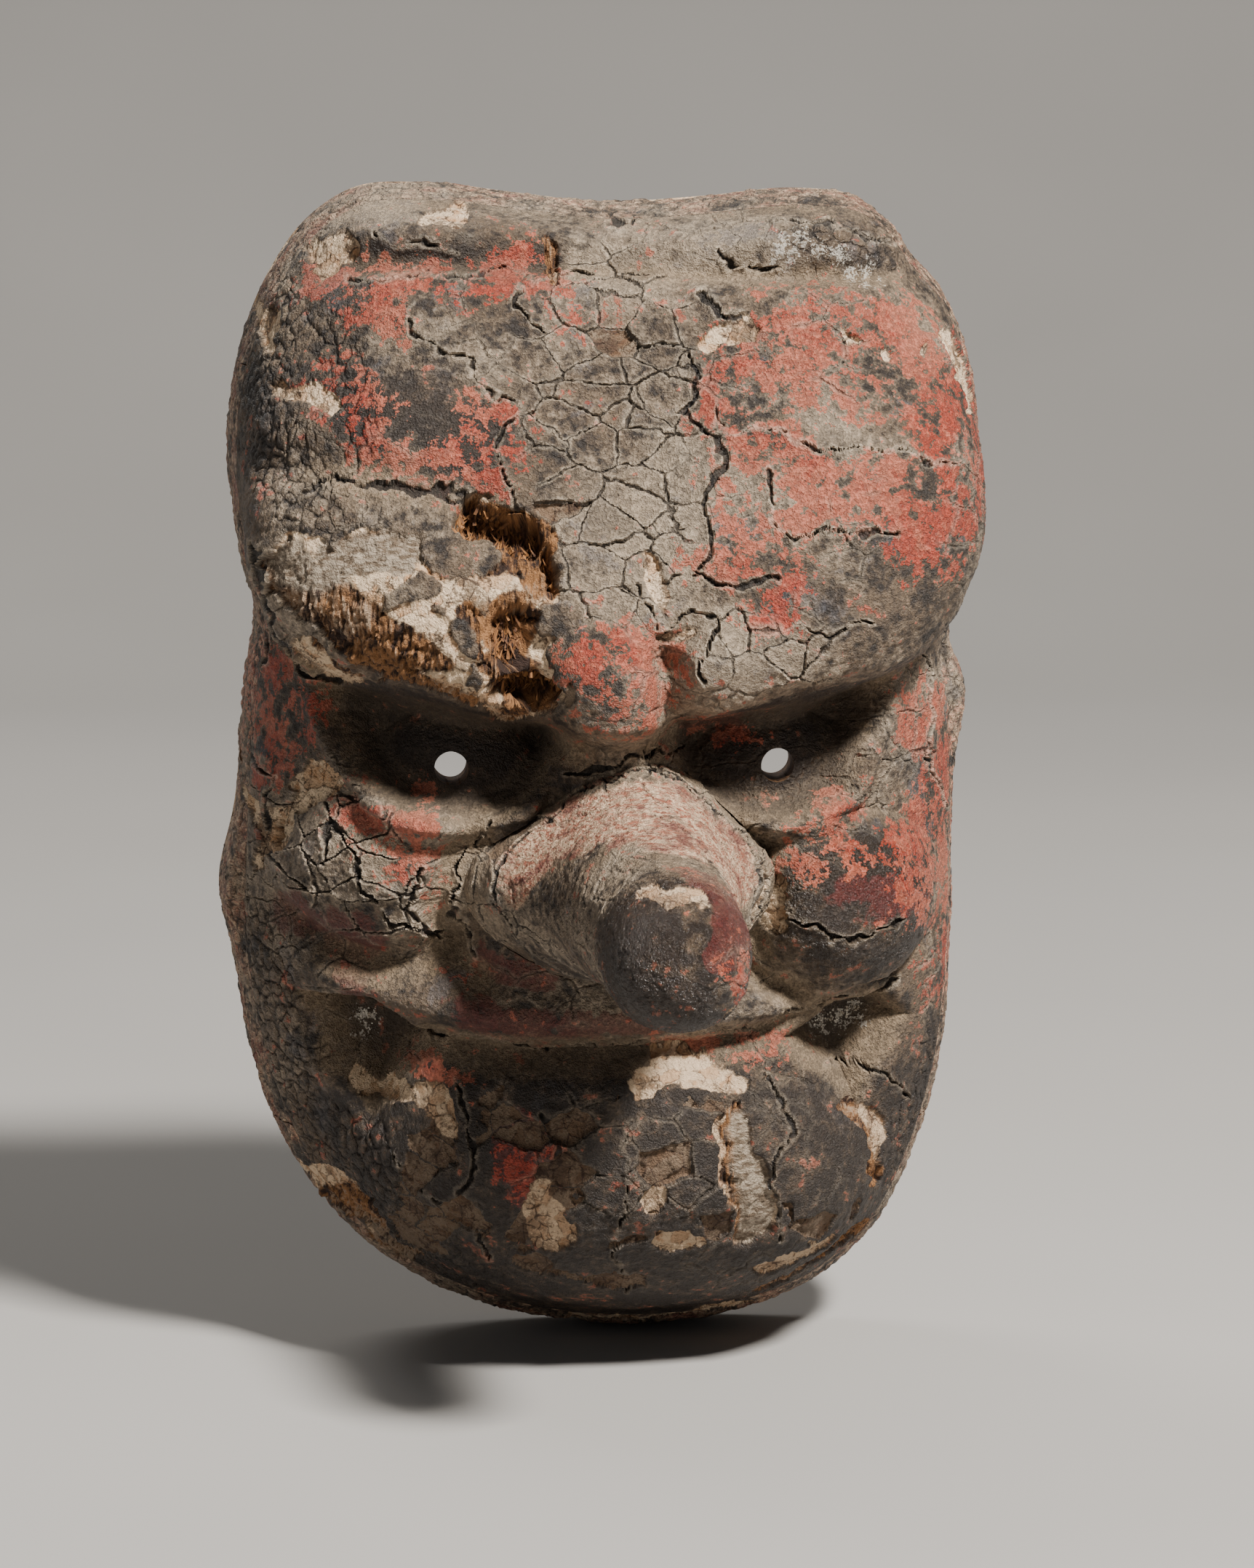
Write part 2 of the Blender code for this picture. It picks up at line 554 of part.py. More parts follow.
def build():
    for obj in list(bpy.data.objects):
        bpy.data.objects.remove(obj)
    parts = bpy.data.collections.new("goblin_mask")
    cutters = bpy.data.collections.new("cutters")
    for collection in (parts, cutters):
        bpy.context.scene.collection.children.link(collection)
    hollow = helper(new_object("hollow", shaped_grid(HOLLOW_ACROSS, HOLLOW_UP, hollow_surface), cutters))
    face = new_object("face_block", shaped_grid(GRID_ACROSS, GRID_UP, carve), parts)
    thin(face)
    combine(face, hollow, "DIFFERENCE", "EXACT")

    # Each strip is the rim kept inside a box that leaves a gap at its joints.
    reach = max(MASK_WIDTH, MASK_HEIGHT)
    half = GAP / 2
    keep = {
        "crown_strip": ((-reach, -reach, CROWN_JOINT + half), (reach, reach, reach)),
        "chin_strip": ((-reach, -reach, -reach), (reach, reach, CHIN_JOINT - half)),
        "side_strip_right": ((0, -reach, CHIN_JOINT + half), (reach, reach, CROWN_JOINT - half)),
        "side_strip_left": ((-reach, -reach, CHIN_JOINT + half), (0, reach, CROWN_JOINT - half)),
    }
    blocks = {"face_block": face}
    for name, (low, high) in keep.items():
        blocks[name] = new_object(name, rim_ring(), parts)
        combine(blocks[name], helper(box("keep_" + name, low, high, cutters)), "INTERSECT")

    # The nose and the seat and mortise for it.
    nose = nose_solid("nose", 0, NOSE_SECTIONS, parts)
    root = [s for s in NOSE_SECTIONS if s[0] < 0.35]
    combine(face, helper(nose_solid("nose_seat", GAP, root, cutters)), "DIFFERENCE", "EXACT")
    mortise = helper(tenon_box("mortise", GAP, NOSE_SEAT_DEPTH + 2 * MM, cutters))
    combine(face, mortise, "DIFFERENCE", "EXACT")
    tenon = helper(tenon_box("tenon", 0, NOSE_SEAT_DEPTH + 4 * MM, cutters))
    combine(nose, tenon, "UNION")
    combine(nose, helper(wedge_solid("wedge_slot", GAP, cutters)), "DIFFERENCE")
    wedge = wedge_solid("nose_wedge", 0, parts)

    # Eye holes through the face, and cord holes through the side strips.
    for side, word in ((-1, "left"), (1, "right")):
        x = side * EYE_HOLE_SPACING / 2
        hole = cylinder(
            "eye_hole_" + word, (x, -FACE_DEPTH - 30 * MM, EYE_HOLE_HEIGHT), (x, 0, EYE_HOLE_HEIGHT),
            EYE_HOLE_DIAMETER, 20, cutters,
        )
        combine(face, helper(hole), "DIFFERENCE", "EXACT")
        wall = side * MASK_WIDTH / 2
        hole = cylinder(
            "cord_hole_" + word, (wall * 0.6, -CORD_HOLE_FROM_BACK, 0), (wall * 1.3, -CORD_HOLE_FROM_BACK, 0),
            CORD_HOLE_DIAMETER, 20, cutters,
        )
        combine(blocks["side_strip_" + word], helper(hole), "DIFFERENCE")

    # Dowels across the seam, each in a blind hole in the block and in its strip.
    strip_of = {"crown": "crown_strip", "chin": "chin_strip", "left": "side_strip_left", "right": "side_strip_right"}
    for place, angles in DOWEL_PLACES.items():
        for number, degrees in enumerate(angles, 1):
            angle = math.radians(degrees)
            ends = [wall_middle(angle, SEAM_DEPTH + side * DOWEL_LENGTH / 2) for side in (-1, 1)]
            name = f"dowel_{place}_{number}"
            dowel = cylinder(name, *ends, DOWEL_DIAMETER, DOWEL_SIDES, parts)
            paint(dowel, "peg wood", (0.42, 0.27, 0.14), 0.7)
            along = (ends[1] - ends[0]).normalized() * GAP
            hole = helper(cylinder(
                "hole_" + name, ends[0] - along, ends[1] + along, DOWEL_DIAMETER + 2 * GAP, DOWEL_SIDES, cutters,
            ))
            combine(face, hole, "DIFFERENCE", "EXACT")
            combine(blocks[strip_of[place]], hole, "DIFFERENCE")

    # Staples across the four joints between the strips, let into the back of the rim.
    for word, height, strip in (("upper", CROWN_JOINT, "crown_strip"), ("lower", CHIN_JOINT, "chin_strip")):
        for side, hand in ((-1, "left"), (1, "right")):
            angle = angle_at_height(height, side)
            joint = wall_middle(angle, 0)
            tangent = (wall_middle(angle + 0.05, 0) - wall_middle(angle - 0.05, 0)).normalized()
            name = f"staple_{word}_{hand}"
            staple = staple_shape(name, joint, tangent, 0, parts)
            paint(staple, "iron", (0.09, 0.07, 0.06), 0.75, 0.8)
            pocket = helper(staple_shape("pocket_" + name, joint, tangent, GAP, cutters))
            combine(blocks[strip], pocket, "DIFFERENCE")
            combine(blocks["side_strip_" + hand], pocket, "DIFFERENCE")

    for block in blocks.values():
        paint(block, "lacquered wood", (0.17, 0.13, 0.10), 0.6)
    paint(nose, "worn lacquer", (0.23, 0.14, 0.11), 0.5)
    paint(wedge, "peg wood", (0.42, 0.27, 0.14), 0.7)


build()
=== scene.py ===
# %% [markdown]
# # A carved goblin mask in cracked lacquer
#
# The real thing is a stage or festival mask: one deep block of wood carved with a scowling
# face, four strips behind it that make it deep enough to wear, and a long nose tenoned
# through the front. Over the wood lies a coat about a millimetre thick, of cloth, ground and
# lacquer, and age has cracked, curled and shed it. The carving is worked out from the same
# short list of lumps, strokes and pits as the solid part, on a much finer grid. The coat is
# then cracked by a Geometry Nodes tree, and its colours come from one shader that reads the
# same cracks, so that shape and colour agree.

import json
import math

import bmesh
import bpy
import numpy as np
from mathutils import Matrix, Vector

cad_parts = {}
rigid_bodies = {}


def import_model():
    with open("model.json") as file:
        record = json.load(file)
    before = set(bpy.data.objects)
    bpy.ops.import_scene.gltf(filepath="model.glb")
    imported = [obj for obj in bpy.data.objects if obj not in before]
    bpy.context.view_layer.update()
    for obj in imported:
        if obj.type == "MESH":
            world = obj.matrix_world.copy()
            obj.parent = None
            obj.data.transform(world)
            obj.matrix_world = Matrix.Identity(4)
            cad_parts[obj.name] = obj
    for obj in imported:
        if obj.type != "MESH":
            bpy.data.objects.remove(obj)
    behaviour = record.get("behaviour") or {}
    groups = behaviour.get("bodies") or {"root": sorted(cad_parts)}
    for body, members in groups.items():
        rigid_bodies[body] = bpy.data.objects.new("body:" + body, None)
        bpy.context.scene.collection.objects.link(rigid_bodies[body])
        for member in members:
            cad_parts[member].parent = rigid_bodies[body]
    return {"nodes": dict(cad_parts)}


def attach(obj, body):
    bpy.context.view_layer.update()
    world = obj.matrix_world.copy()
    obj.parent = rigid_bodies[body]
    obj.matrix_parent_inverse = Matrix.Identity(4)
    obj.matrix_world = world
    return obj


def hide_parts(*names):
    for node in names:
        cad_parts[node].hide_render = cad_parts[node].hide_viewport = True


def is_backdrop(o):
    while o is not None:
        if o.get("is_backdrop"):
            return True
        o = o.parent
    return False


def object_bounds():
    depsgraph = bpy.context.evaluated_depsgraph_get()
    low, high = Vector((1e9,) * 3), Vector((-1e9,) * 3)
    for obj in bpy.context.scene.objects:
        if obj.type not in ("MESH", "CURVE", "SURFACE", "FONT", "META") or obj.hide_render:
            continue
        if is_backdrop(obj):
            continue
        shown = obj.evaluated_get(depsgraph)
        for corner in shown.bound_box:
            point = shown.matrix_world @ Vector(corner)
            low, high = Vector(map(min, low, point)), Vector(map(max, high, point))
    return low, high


for leftover in list(bpy.data.objects):
    bpy.data.objects.remove(leftover)
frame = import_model()
solid_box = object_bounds()
print("frame:", len(frame["nodes"]), "solid pieces, box", solid_box)

# %% Sizes of the mask, in metres
MM = 0.001
MASK_WIDTH, MASK_HEIGHT, FACE_DEPTH = 150 * MM, 235 * MM, 62 * MM
SIDE_WALL, FRONT_WALL = 10 * MM, 16 * MM
SEAM_DEPTH, CROWN_JOINT, CHIN_JOINT = 24 * MM, 80 * MM, -74 * MM
GAP = 0.3 * MM
EYE_HOLE_SPACING, EYE_HOLE_HEIGHT, EYE_HOLE_DIAMETER = 64 * MM, 3.4 * MM, 6.6 * MM
CORD_HOLE_DIAMETER, CORD_HOLE_FROM_BACK = 7 * MM, 12 * MM
DOWEL_DIAMETER, DOWEL_LENGTH = 4 * MM, 18 * MM
STAPLE_SPAN, STAPLE_LEG, STAPLE_SECTION = 18 * MM, 8 * MM, 1.8 * MM
NOSE_LENGTH, NOSE_SEAT_DEPTH, NOSE_LEAN = 84 * MM, 55 * MM, 4.0
TENON_WIDTH, TENON_HEIGHT = 17 * MM, 20 * MM
WEDGE_THICKNESS, WEDGE_LENGTH = 2.6 * MM, 9 * MM
BOXY_CROWN, BOXY_SIDE, BOXY_CHIN = 3.0, 2.7, 2.35
SIDE_SPACING = 2.6  # how much wider apart the grid's rings are on the sides than on the face
OUTLINE = [
    (0, 111), (22, 112), (42, 113.5), (52, 112), (58.5, 107), (62.5, 101.5), (69, 94), (74, 82),
    (76.5, 66), (76, 47), (72.5, 33), (70, 25), (71.4, 12), (72, -6), (72.2, -26), (72, -46),
    (70, -66), (65.5, -83), (58, -99), (45.5, -111), (28.5, -118), (8, -120.5),
    (-11, -119), (-29, -114), (-46, -104.5), (-59, -91), (-68, -74), (-73, -55),
    (-75, -37), (-74.4, -18), (-73.2, 2), (-71.2, 20), (-70, 29), (-73, 43),
    (-75, 62), (-72.5, 82), (-66.5, 97), (-58.5, 108), (-49, 114), (-36, 115), (-18, 113),
]

# %% [markdown]
# ## The maths of the carving
#
# A face could be sculpted by hand, but a sculpt can't be repeated or resized. Here each form
# is a small function of the place on the face: a lump is a rounded mass, a stroke is a ridge
# or a groove along a path, and a pit is a hollow with straight sides. Numpy works them out
# for every point of the grid at once.

# %% Lumps, strokes and pits
def smooth(low, high, value):
    share = np.clip((value - low) / (high - low), 0, 1)
    return share * share * (3 - 2 * share)


def through(points, at):
    """A smooth curve through points (x, y), read at the given x."""
    xs, ys = np.array(points, float).T
    slope = np.gradient(ys, xs)
    i = np.clip(np.searchsorted(xs, at) - 1, 0, len(xs) - 2)
    span = xs[i + 1] - xs[i]
    t = np.clip((at - xs[i]) / span, 0, 1)
    return (
        (1 + 2 * t) * (1 - t) ** 2 * ys[i] + t * (1 - t) ** 2 * span * slope[i]
        + t * t * (3 - 2 * t) * ys[i + 1] - t * t * (1 - t) * span * slope[i + 1]
    )


def lump(x, z, centre, radii, tilt, height, fullness=3.0):
    c, s = math.cos(math.radians(tilt)), math.sin(math.radians(tilt))
    dx, dz = x - centre[0], z - centre[1]
    r = np.hypot((dx * c + dz * s) / radii[0], (dz * c - dx * s) / radii[1])
    return height * np.clip(1 - r**fullness, 0, 1)


def swell(x, z, centre, radii, height):
    return height * np.exp(-(((x - centre[0]) / radii[0]) ** 2) - ((z - centre[1]) / radii[1]) ** 2)


def from_path(x, z, path):
    """The distance from a line through the path's points."""
    if len(path) == 1:
        return np.hypot(x - path[0][0], z - path[0][1])
    nearest = np.full(np.shape(x), np.inf)
    for (ax, az), (bx, bz) in zip(path, path[1:]):
        dx, dz = bx - ax, bz - az
        t = np.clip(((x - ax) * dx + (z - az) * dz) / (dx * dx + dz * dz), 0, 1)
        nearest = np.minimum(nearest, np.hypot(x - ax - t * dx, z - az - t * dz))
    return nearest


def stroke(x, z, path, width, height):
    return height * np.exp(-((from_path(x, z, path) / width) ** 2))


def pit(x, z, corners, soft, depth):
    inside = np.full(np.shape(x), np.inf)
    for (ax, az), (bx, bz) in zip(corners, corners[1:] + corners[:1]):
        away = ((bx - ax) * (z - az) - (bz - az) * (x - ax)) / math.hypot(bx - ax, bz - az)
        inside = np.minimum(inside, away)
    return -depth * smooth(-soft, soft, inside)


# %% The face itself, in millimetres from the middle of the mask
BROW_EDGE = [
    (-84, 44), (-74, 38), (-68, 31), (-61, 24.5), (-55, 20.5), (-46, 17.5), (-34, 15), (-23, 13.5),
    (-14, 13), (-7, 11.5), (1, 11), (8, 12), (13, 14.8), (19, 14.4), (31, 14), (40, 15.6),
    (50, 19.4), (58, 24), (66, 30), (74, 37), (84, 44),
]
LEFT_EYE = [(-12, 8), (-12, 18), (-40, 20), (-57, 25), (-57, 14), (-51, 4), (-41, -3), (-30, -5), (-19, -2.5)]
RIGHT_EYE = [(53, 14), (53, 25), (34, 19), (14, 18), (11.5, 7), (16, -0.5), (24, -5), (34, -5.6), (45, -1.6)]
UPPER_LIP = [(-58, -37), (-46, -39.5), (-34, -43.5), (-16, -45.5), (4, -45.5), (24, -44), (40, -43)]
LEFT_PIT = [(-61, -45), (-57, -57.5), (-48, -66), (-38, -51.5), (-48, -44)]
RIGHT_PIT = [(36, -52.5), (49, -65.5), (59, -50.5), (55, -46), (46, -47.5)]
MOUTH_LINE = [(-36, -50), (-28, -52), (-12, -53.2), (4, -53), (15, -52), (27, -50), (36, -47.4), (42, -46)]


def brow(x, z):
    above = z - through(BROW_EDGE, x)
    face = 0.7 * smooth(-3.2, 3.4, above) + 0.3 * smooth(-1, 14, above)
    return 16 * face * (1 - 0.94 * smooth(8, 70, above)) * smooth(96, 62, np.abs(x))


def eye(x, z, lids, side):
    socket = pit(x, z, lids, 3.2, 11)
    ball = lump(x, z, (side * 33, 2), (20, 13), side * 10, 6.5, 2.4)
    rim = stroke(x, z, lids[-5:] if side < 0 else lids[-5:] + lids[:1], 3.4, 2.6)
    return socket + ball + rim


def features(x, z):
    h = brow(x, z)
    h += stroke(x, z, [(-74, 62), (-60, 58.5), (-50, 60), (-41, 59.5), (-30, 57), (-22, 53)], 5, -2.2)
    h += stroke(x, z, [(-71, 52), (-69, 40), (-64, 30)], 3.4, -2.0)
    h += swell(x, z, (-44, 40), (20, 12), 2.4) + swell(x, z, (-38, 74), (22, 18), 2.6)
    h += swell(x, z, (43, 62), (24, 26), 2.6)
    h += stroke(x, z, [(-60, 99), (-47, 101.5), (-34, 101.5), (-10, 100.5), (28, 100), (60, 99)], 3.4, -3.8)
    h += stroke(x, z, [(-52, 109), (-20, 108.5), (12, 105.5), (30, 107), (52, 107)], 5, 2.2)
    h += lump(x, z, (-3, 20), (12.5, 15), 0, 4.0, 2.2)
    h += stroke(x, z, [(15, 42), (11, 33), (8, 26)], 3.6, -1.6)
    h += stroke(x, z, [(8.4, 26), (8.2, 21), (9.6, 16), (11, 9)], 3.2, -4.6)
    h += stroke(x, z, [(-16, 29), (-16.5, 20), (-15, 10)], 3.4, -3.4)
    h += swell(x, z, (17, 23), (8, 8), 2.8) + swell(x, z, (-1, 5), (10, 10), 4.5)
    h += eye(x, z, LEFT_EYE, -1) + eye(x, z, RIGHT_EYE, 1)
    h += swell(x, z, (-69, 12), (8, 20), -3.5) + swell(x, z, (67, 12), (8, 18), -3.0)
    h += lump(x, z, (47, -23.5), (21, 18), -6, 9.5, 2.6) + lump(x, z, (-47, -17), (22, 16), 10, 5.5, 2.2)
    h += stroke(x, z, [(22, -6), (28.5, -13), (30.5, -23), (27, -33), (20, -40)], 3.2, -3.6)
    h += stroke(x, z, [(-24, -4), (-31.5, -13), (-35, -22), (-34, -30), (-27, -37)], 3.4, -3.6)
    h += stroke(x, z, [(24, -37), (33, -41.5), (44, -44), (54, -42), (66, -36)], 3.0, -5.0)
    h += stroke(x, z, [(-30, -29), (-38, -35), (-48, -35.5), (-58, -31), (-66, -26)], 3.4, -3.4)
    h += stroke(x, z, UPPER_LIP, 4.6, 3.4) + stroke(x, z, [(40, -43), (52, -41), (64, -38)], 3.0, 3.0)
    h += stroke(x, z, MOUTH_LINE, 3.0, -3.8)
    h += pit(x, z, LEFT_PIT, 3.4, 11.5) + pit(x, z, RIGHT_PIT, 3.4, 9.5)
    h += lump(x, z, (2, -92), (64, 39.5), -2, 14, 4.2)
    h += stroke(x, z, [(-40, -61), (-26, -57), (2, -56.5), (24, -56), (42, -60)], 3.6, 1.6)
    return h


print("carved height at the brow, the cheek and the chin, mm:",
      [round(float(features(np.array(x), np.array(z))), 1) for x, z in ((35, 30), (47, -23), (2, -90))])


# %% The dome under the carving
def outline_radius(angle):
    angle = np.arctan2(np.sin(angle), np.cos(angle))
    points = np.array(OUTLINE, float)
    around = np.arctan2(points[:, 1], points[:, 0])
    order = np.argsort(around)
    around, radius = around[order], np.hypot(*points[order].T)
    wrapped = np.concatenate([around[-3:] - 2 * math.pi, around, around[:3] + 2 * math.pi])
    return through(np.stack([wrapped, np.concatenate([radius[-3:], radius, radius[:3]])], 1), angle)


def boxiness(angle):
    up = np.sin(angle)
    return np.where(
        up > 0,
        BOXY_SIDE + (BOXY_CROWN - BOXY_SIDE) * smooth(0.2, 0.95, up),
        BOXY_SIDE + (BOXY_CHIN - BOXY_SIDE) * smooth(0.1, 0.9, -up),
    )


def square_to_polar(u, v):
    """Turns a square grid into rings: how far out, 0 to 1, and which way."""
    out = np.maximum(np.abs(u), np.abs(v))
    safe = np.where(out > 0, out, 1)
    sideways = np.abs(u) >= np.abs(v)
    quarter = math.pi / 4 * np.where(sideways, v, u) / safe
    angle = np.where(
        sideways,
        np.where(u >= 0, quarter, math.pi - quarter),
        np.where(v >= 0, math.pi / 2 - quarter, quarter - math.pi / 2),
    )
    return out, np.arctan2(np.sin(angle), np.cos(angle))


def ring_turns():
    turns = np.linspace(0, math.pi / 2, 1200)
    across = np.sin(turns) ** (2 / BOXY_SIDE) * MASK_HEIGHT / MM * 0.42
    ahead = np.cos(turns) ** (2 / BOXY_SIDE) * FACE_DEPTH / MM
    run = np.concatenate([[0], np.cumsum(np.diff(across) + np.abs(np.diff(ahead)) / SIDE_SPACING)])
    return run / run[-1], turns


def dome(out, angle, inset, depth, stop=0.0):
    """Points of a dome over the mask's outline, down to where it stops, and the way it faces."""
    power = boxiness(angle)
    last = np.arccos((stop / depth) ** (power / 2))
    turn = np.interp(out, *ring_turns()) * last / (math.pi / 2)
    across, forward = np.sin(turn) ** (2 / power), np.clip(np.cos(turn), 0, 1) ** (2 / power)
    forward = np.where(out >= 1, stop / depth, forward)
    radius = outline_radius(angle) * MM
    edge = np.stack([radius * np.cos(angle), radius * np.sin(angle)], -1) * (1 - inset / radius)[..., None]
    point = np.stack([edge[..., 0] * across, -depth * forward, edge[..., 1] * across], -1)
    outward, ahead = across ** (power - 1) / radius, forward ** (power - 1) / depth
    way = np.stack([np.cos(angle) * outward, -ahead, np.sin(angle) * outward], -1)
    return point, way / np.linalg.norm(way, axis=-1)[..., None]


def ear(point):
    x, y, z = point[..., 0] / MM, -point[..., 1] / MM, point[..., 2] / MM
    back = 1 - smooth(SEAM_DEPTH / MM - 5, SEAM_DEPTH / MM, y)
    right = np.exp(-(((z - 13) / 12) ** 2)) * (x > 60)
    left = np.exp(-(((z + 26) / 11) ** 2)) * (x < -60)
    return 3.2 * MM * back * (left + right)


# %% [markdown]
# ## Where the years have told
#
# Cracks, worn red and lost patches could be painted as pictures, but a picture stretches over
# a nose and can't be resized. Each mark is kept instead as a short path on the face with a
# half-width in millimetres, and every point of the surface stores how deep inside the nearest
# mark it lies. A stored distance blends well between points, so the shader can add a ragged
# edge of its own at any size.

# %% The marks: each is a path and how far it reaches to either side
RED = [
    ([(24, 79), (38, 84), (56, 84)], 9), ([(66, 76), (68, 58)], 9), ([(30, 62), (44, 58), (60, 52)], 9),
    ([(24, 66), (24, 54), (19, 48)], 5), ([(31, 46), (29, 36)], 3.5), ([(-55, 96), (-38, 98), (-10, 98)], 3),
    ([(-50, 91), (-42, 91)], 3.6), ([(-53, 79), (-46, 70)], 5), ([(-46, 70), (-31, 62), (-26, 66)], 4),
    ([(-25, 74), (-21, 68)], 2.6), ([(-10, 24), (-3, 24), (4, 20)], 4.6), ([(-7, 31), (4, 31)], 2),
    ([(9, 29), (11, 21)], 2), ([(-69, 20), (-67, 5)], 5), ([(-61, 18), (-62, 8)], 2.4),
    ([(60, 10), (67, 12)], 4.4), ([(66, 2), (66, -18)], 4.6), ([(71, -28), (69, -44)], 3),
    ([(-51, -4), (-41, -7), (-38, -18)], 3), ([(37, -14), (50, -13), (61, -14)], 3),
    ([(58, -20), (62, -28)], 3),
    ([(11, -52), (31, -53)], 1.6), ([(-20, -70), (-18, -77)], 3), ([(-44, -54), (-30, -58)], 2),
    ([(36, -10), (44, -4)], 2), ([(-12, 93), (2, 92)], 0.6), ([(14, 12), (26, 10)], 1.4),
]
MAROON = [
    ([(-62, -28), (-50, -29), (-52, -36)], 4.6), ([(-30, -46), (-12, -47), (10, -48)], 3),
    ([(14, 12), (24, 12)], 3),
    ([(-20, -68), (-17, -80)], 4.6), ([(46, -20), (60, -24)], 4), ([(-24, -34), (-14, -38)], 3),
]
WORN_OFF = [
    ([(-60, 43), (-48, 36), (-37, 27)], 8.4), ([(-50, 46), (-38, 44), (-27, 43)], 6.8),
    ([(-25, 53), (-18, 49)], 6),
    ([(-27, 37), (-20, 30), (-20, 21)], 7), ([(-44, 23), (-30, 20)], 3), ([(-60, 28), (-54, 23)], 3),
    ([(-16, 42), (-19, 40)], 3.4),
    ([(-66, -12), (-64, -8)], 2.6), ([(-61, -1), (-57, 1), (-60, -6)], 2.2), ([(-70, -6), (-69, -18)], 1.4),
    ([(-12, 104), (-11, 99)], 1.8), ([(-36, 110), (-30, 110)], 1.8), ([(-52, 104), (-57, 100)], 2),
    ([(68, 84), (72, 72)], 2), ([(19, 86), (25, 89)], 2.4), ([(31, -27), (32, -20)], 2),
    ([(3, -58), (9, -55), (17, -56), (24, -58)], 2.6), ([(-37, -62), (-34, -66)], 3),
    ([(-50, -60), (-42, -62)], 2),
    ([(-15, -83), (-12, -88)], 4.4), ([(5, -82), (7, -79)], 2.4), ([(9, -90), (14, -91)], 2.6),
    ([(22, -67), (25, -78), (27, -88)], 5), ([(30, -99), (44, -96)], 1.6), ([(-58, -84), (-40, -100)], 3),
    ([(30, -107), (52, -97)], 1.8), ([(47, -66), (55, -74), (52, -84)], 1.8), ([(-64, 77), (-56, 75)], 1.7),
    ([(7, 47), (8, 40)], 1.6), ([(9, 33), (13, 32)], 1.3), ([(-68, 92), (-66, 86)], 1.4),
    ([(46, 88), (48, 86)], 0.8),
    ([(54, 84), (55, 85)], 1), ([(62, 82), (62, 83)], 1), ([(-8, -118), (30, -114)], 1.4),
]
STILL_THERE = [
    ([(-34, 47), (-28, 46)], 3.6), ([(-44, 39), (-38, 41)], 2.2), ([(-49, 21), (-38, 19), (-28, 16)], 1.9),
    ([(-15, 35), (-12, 33)], 2.2), ([(-31, 33), (-29, 31)], 1.5),
]
GREYED = [([(-63, 47), (-50, 46), (-40, 49), (-30, 51)], 6), ([(26, -68), (28, -90)], 5)]
BARE_WOOD = [
    ([(-63, 42), (-54, 34), (-46, 27)], 6.8), ([(-56, 47), (-42, 48), (-34, 51)], 4.6),
    ([(-40, 30), (-36, 27)], 3), ([(-30, 36), (-27, 31)], 1.8), ([(-25, 52), (-17, 47)], 7),
    ([(-21, 36), (-22, 28), (-19, 20)], 5), ([(24, -66), (27, -90)], 5), ([(-54, -88), (-38, -101)], 3),
    ([(30, -107), (54, -96)], 3), ([(47, -66), (53, -84)], 3), ([(-12, 104), (-11, 98)], 2.4),
    ([(-44, 23), (-30, 19)], 1.6),
]
ROTTED = [([(-27, 54), (-19, 50)], 4.4), ([(-15, 47), (-14, 44)], 1.6), ([(-21, 35), (-22, 29)], 4.2),
          ([(-22, 21), (-17, 21)], 3.9), ([(-66, -11), (-65, -9)], 1.2)]
PLATES = [
    ([(0, 92), (-6, 80), (-4, 66), (0, 48)], 14), ([(8, 90), (6, 70)], 9),
    ([(-14, -70), (2, -76), (18, -72)], 12),
    ([(-50, -8), (-52, -20), (-42, -24)], 9), ([(-64, -8), (-62, -20)], 6), ([(24, 30), (34, 26)], 8),
]
SCALES = [
    ([(-67, 92), (-69, 72), (-60, 54)], 7), ([(-72, -36), (-66, -66), (-50, -88), (-30, -104)], 8),
    ([(-52, -72), (-46, -84)], 6), ([(68, -60), (60, -84)], 6), ([(40, 104), (56, 104)], 5),
    ([(-50, 68), (-54, 88)], 4),
]
SHEDDING = [
    ([(-16, -68), (16, -72), (6, -92), (-12, -90)], 12), ([(-40, -72), (-34, -92)], 9),
    ([(40, -72), (42, -90)], 9), ([(-8, 24), (-14, 20)], 4), ([(-40, 22), (-26, 17)], 4),
]
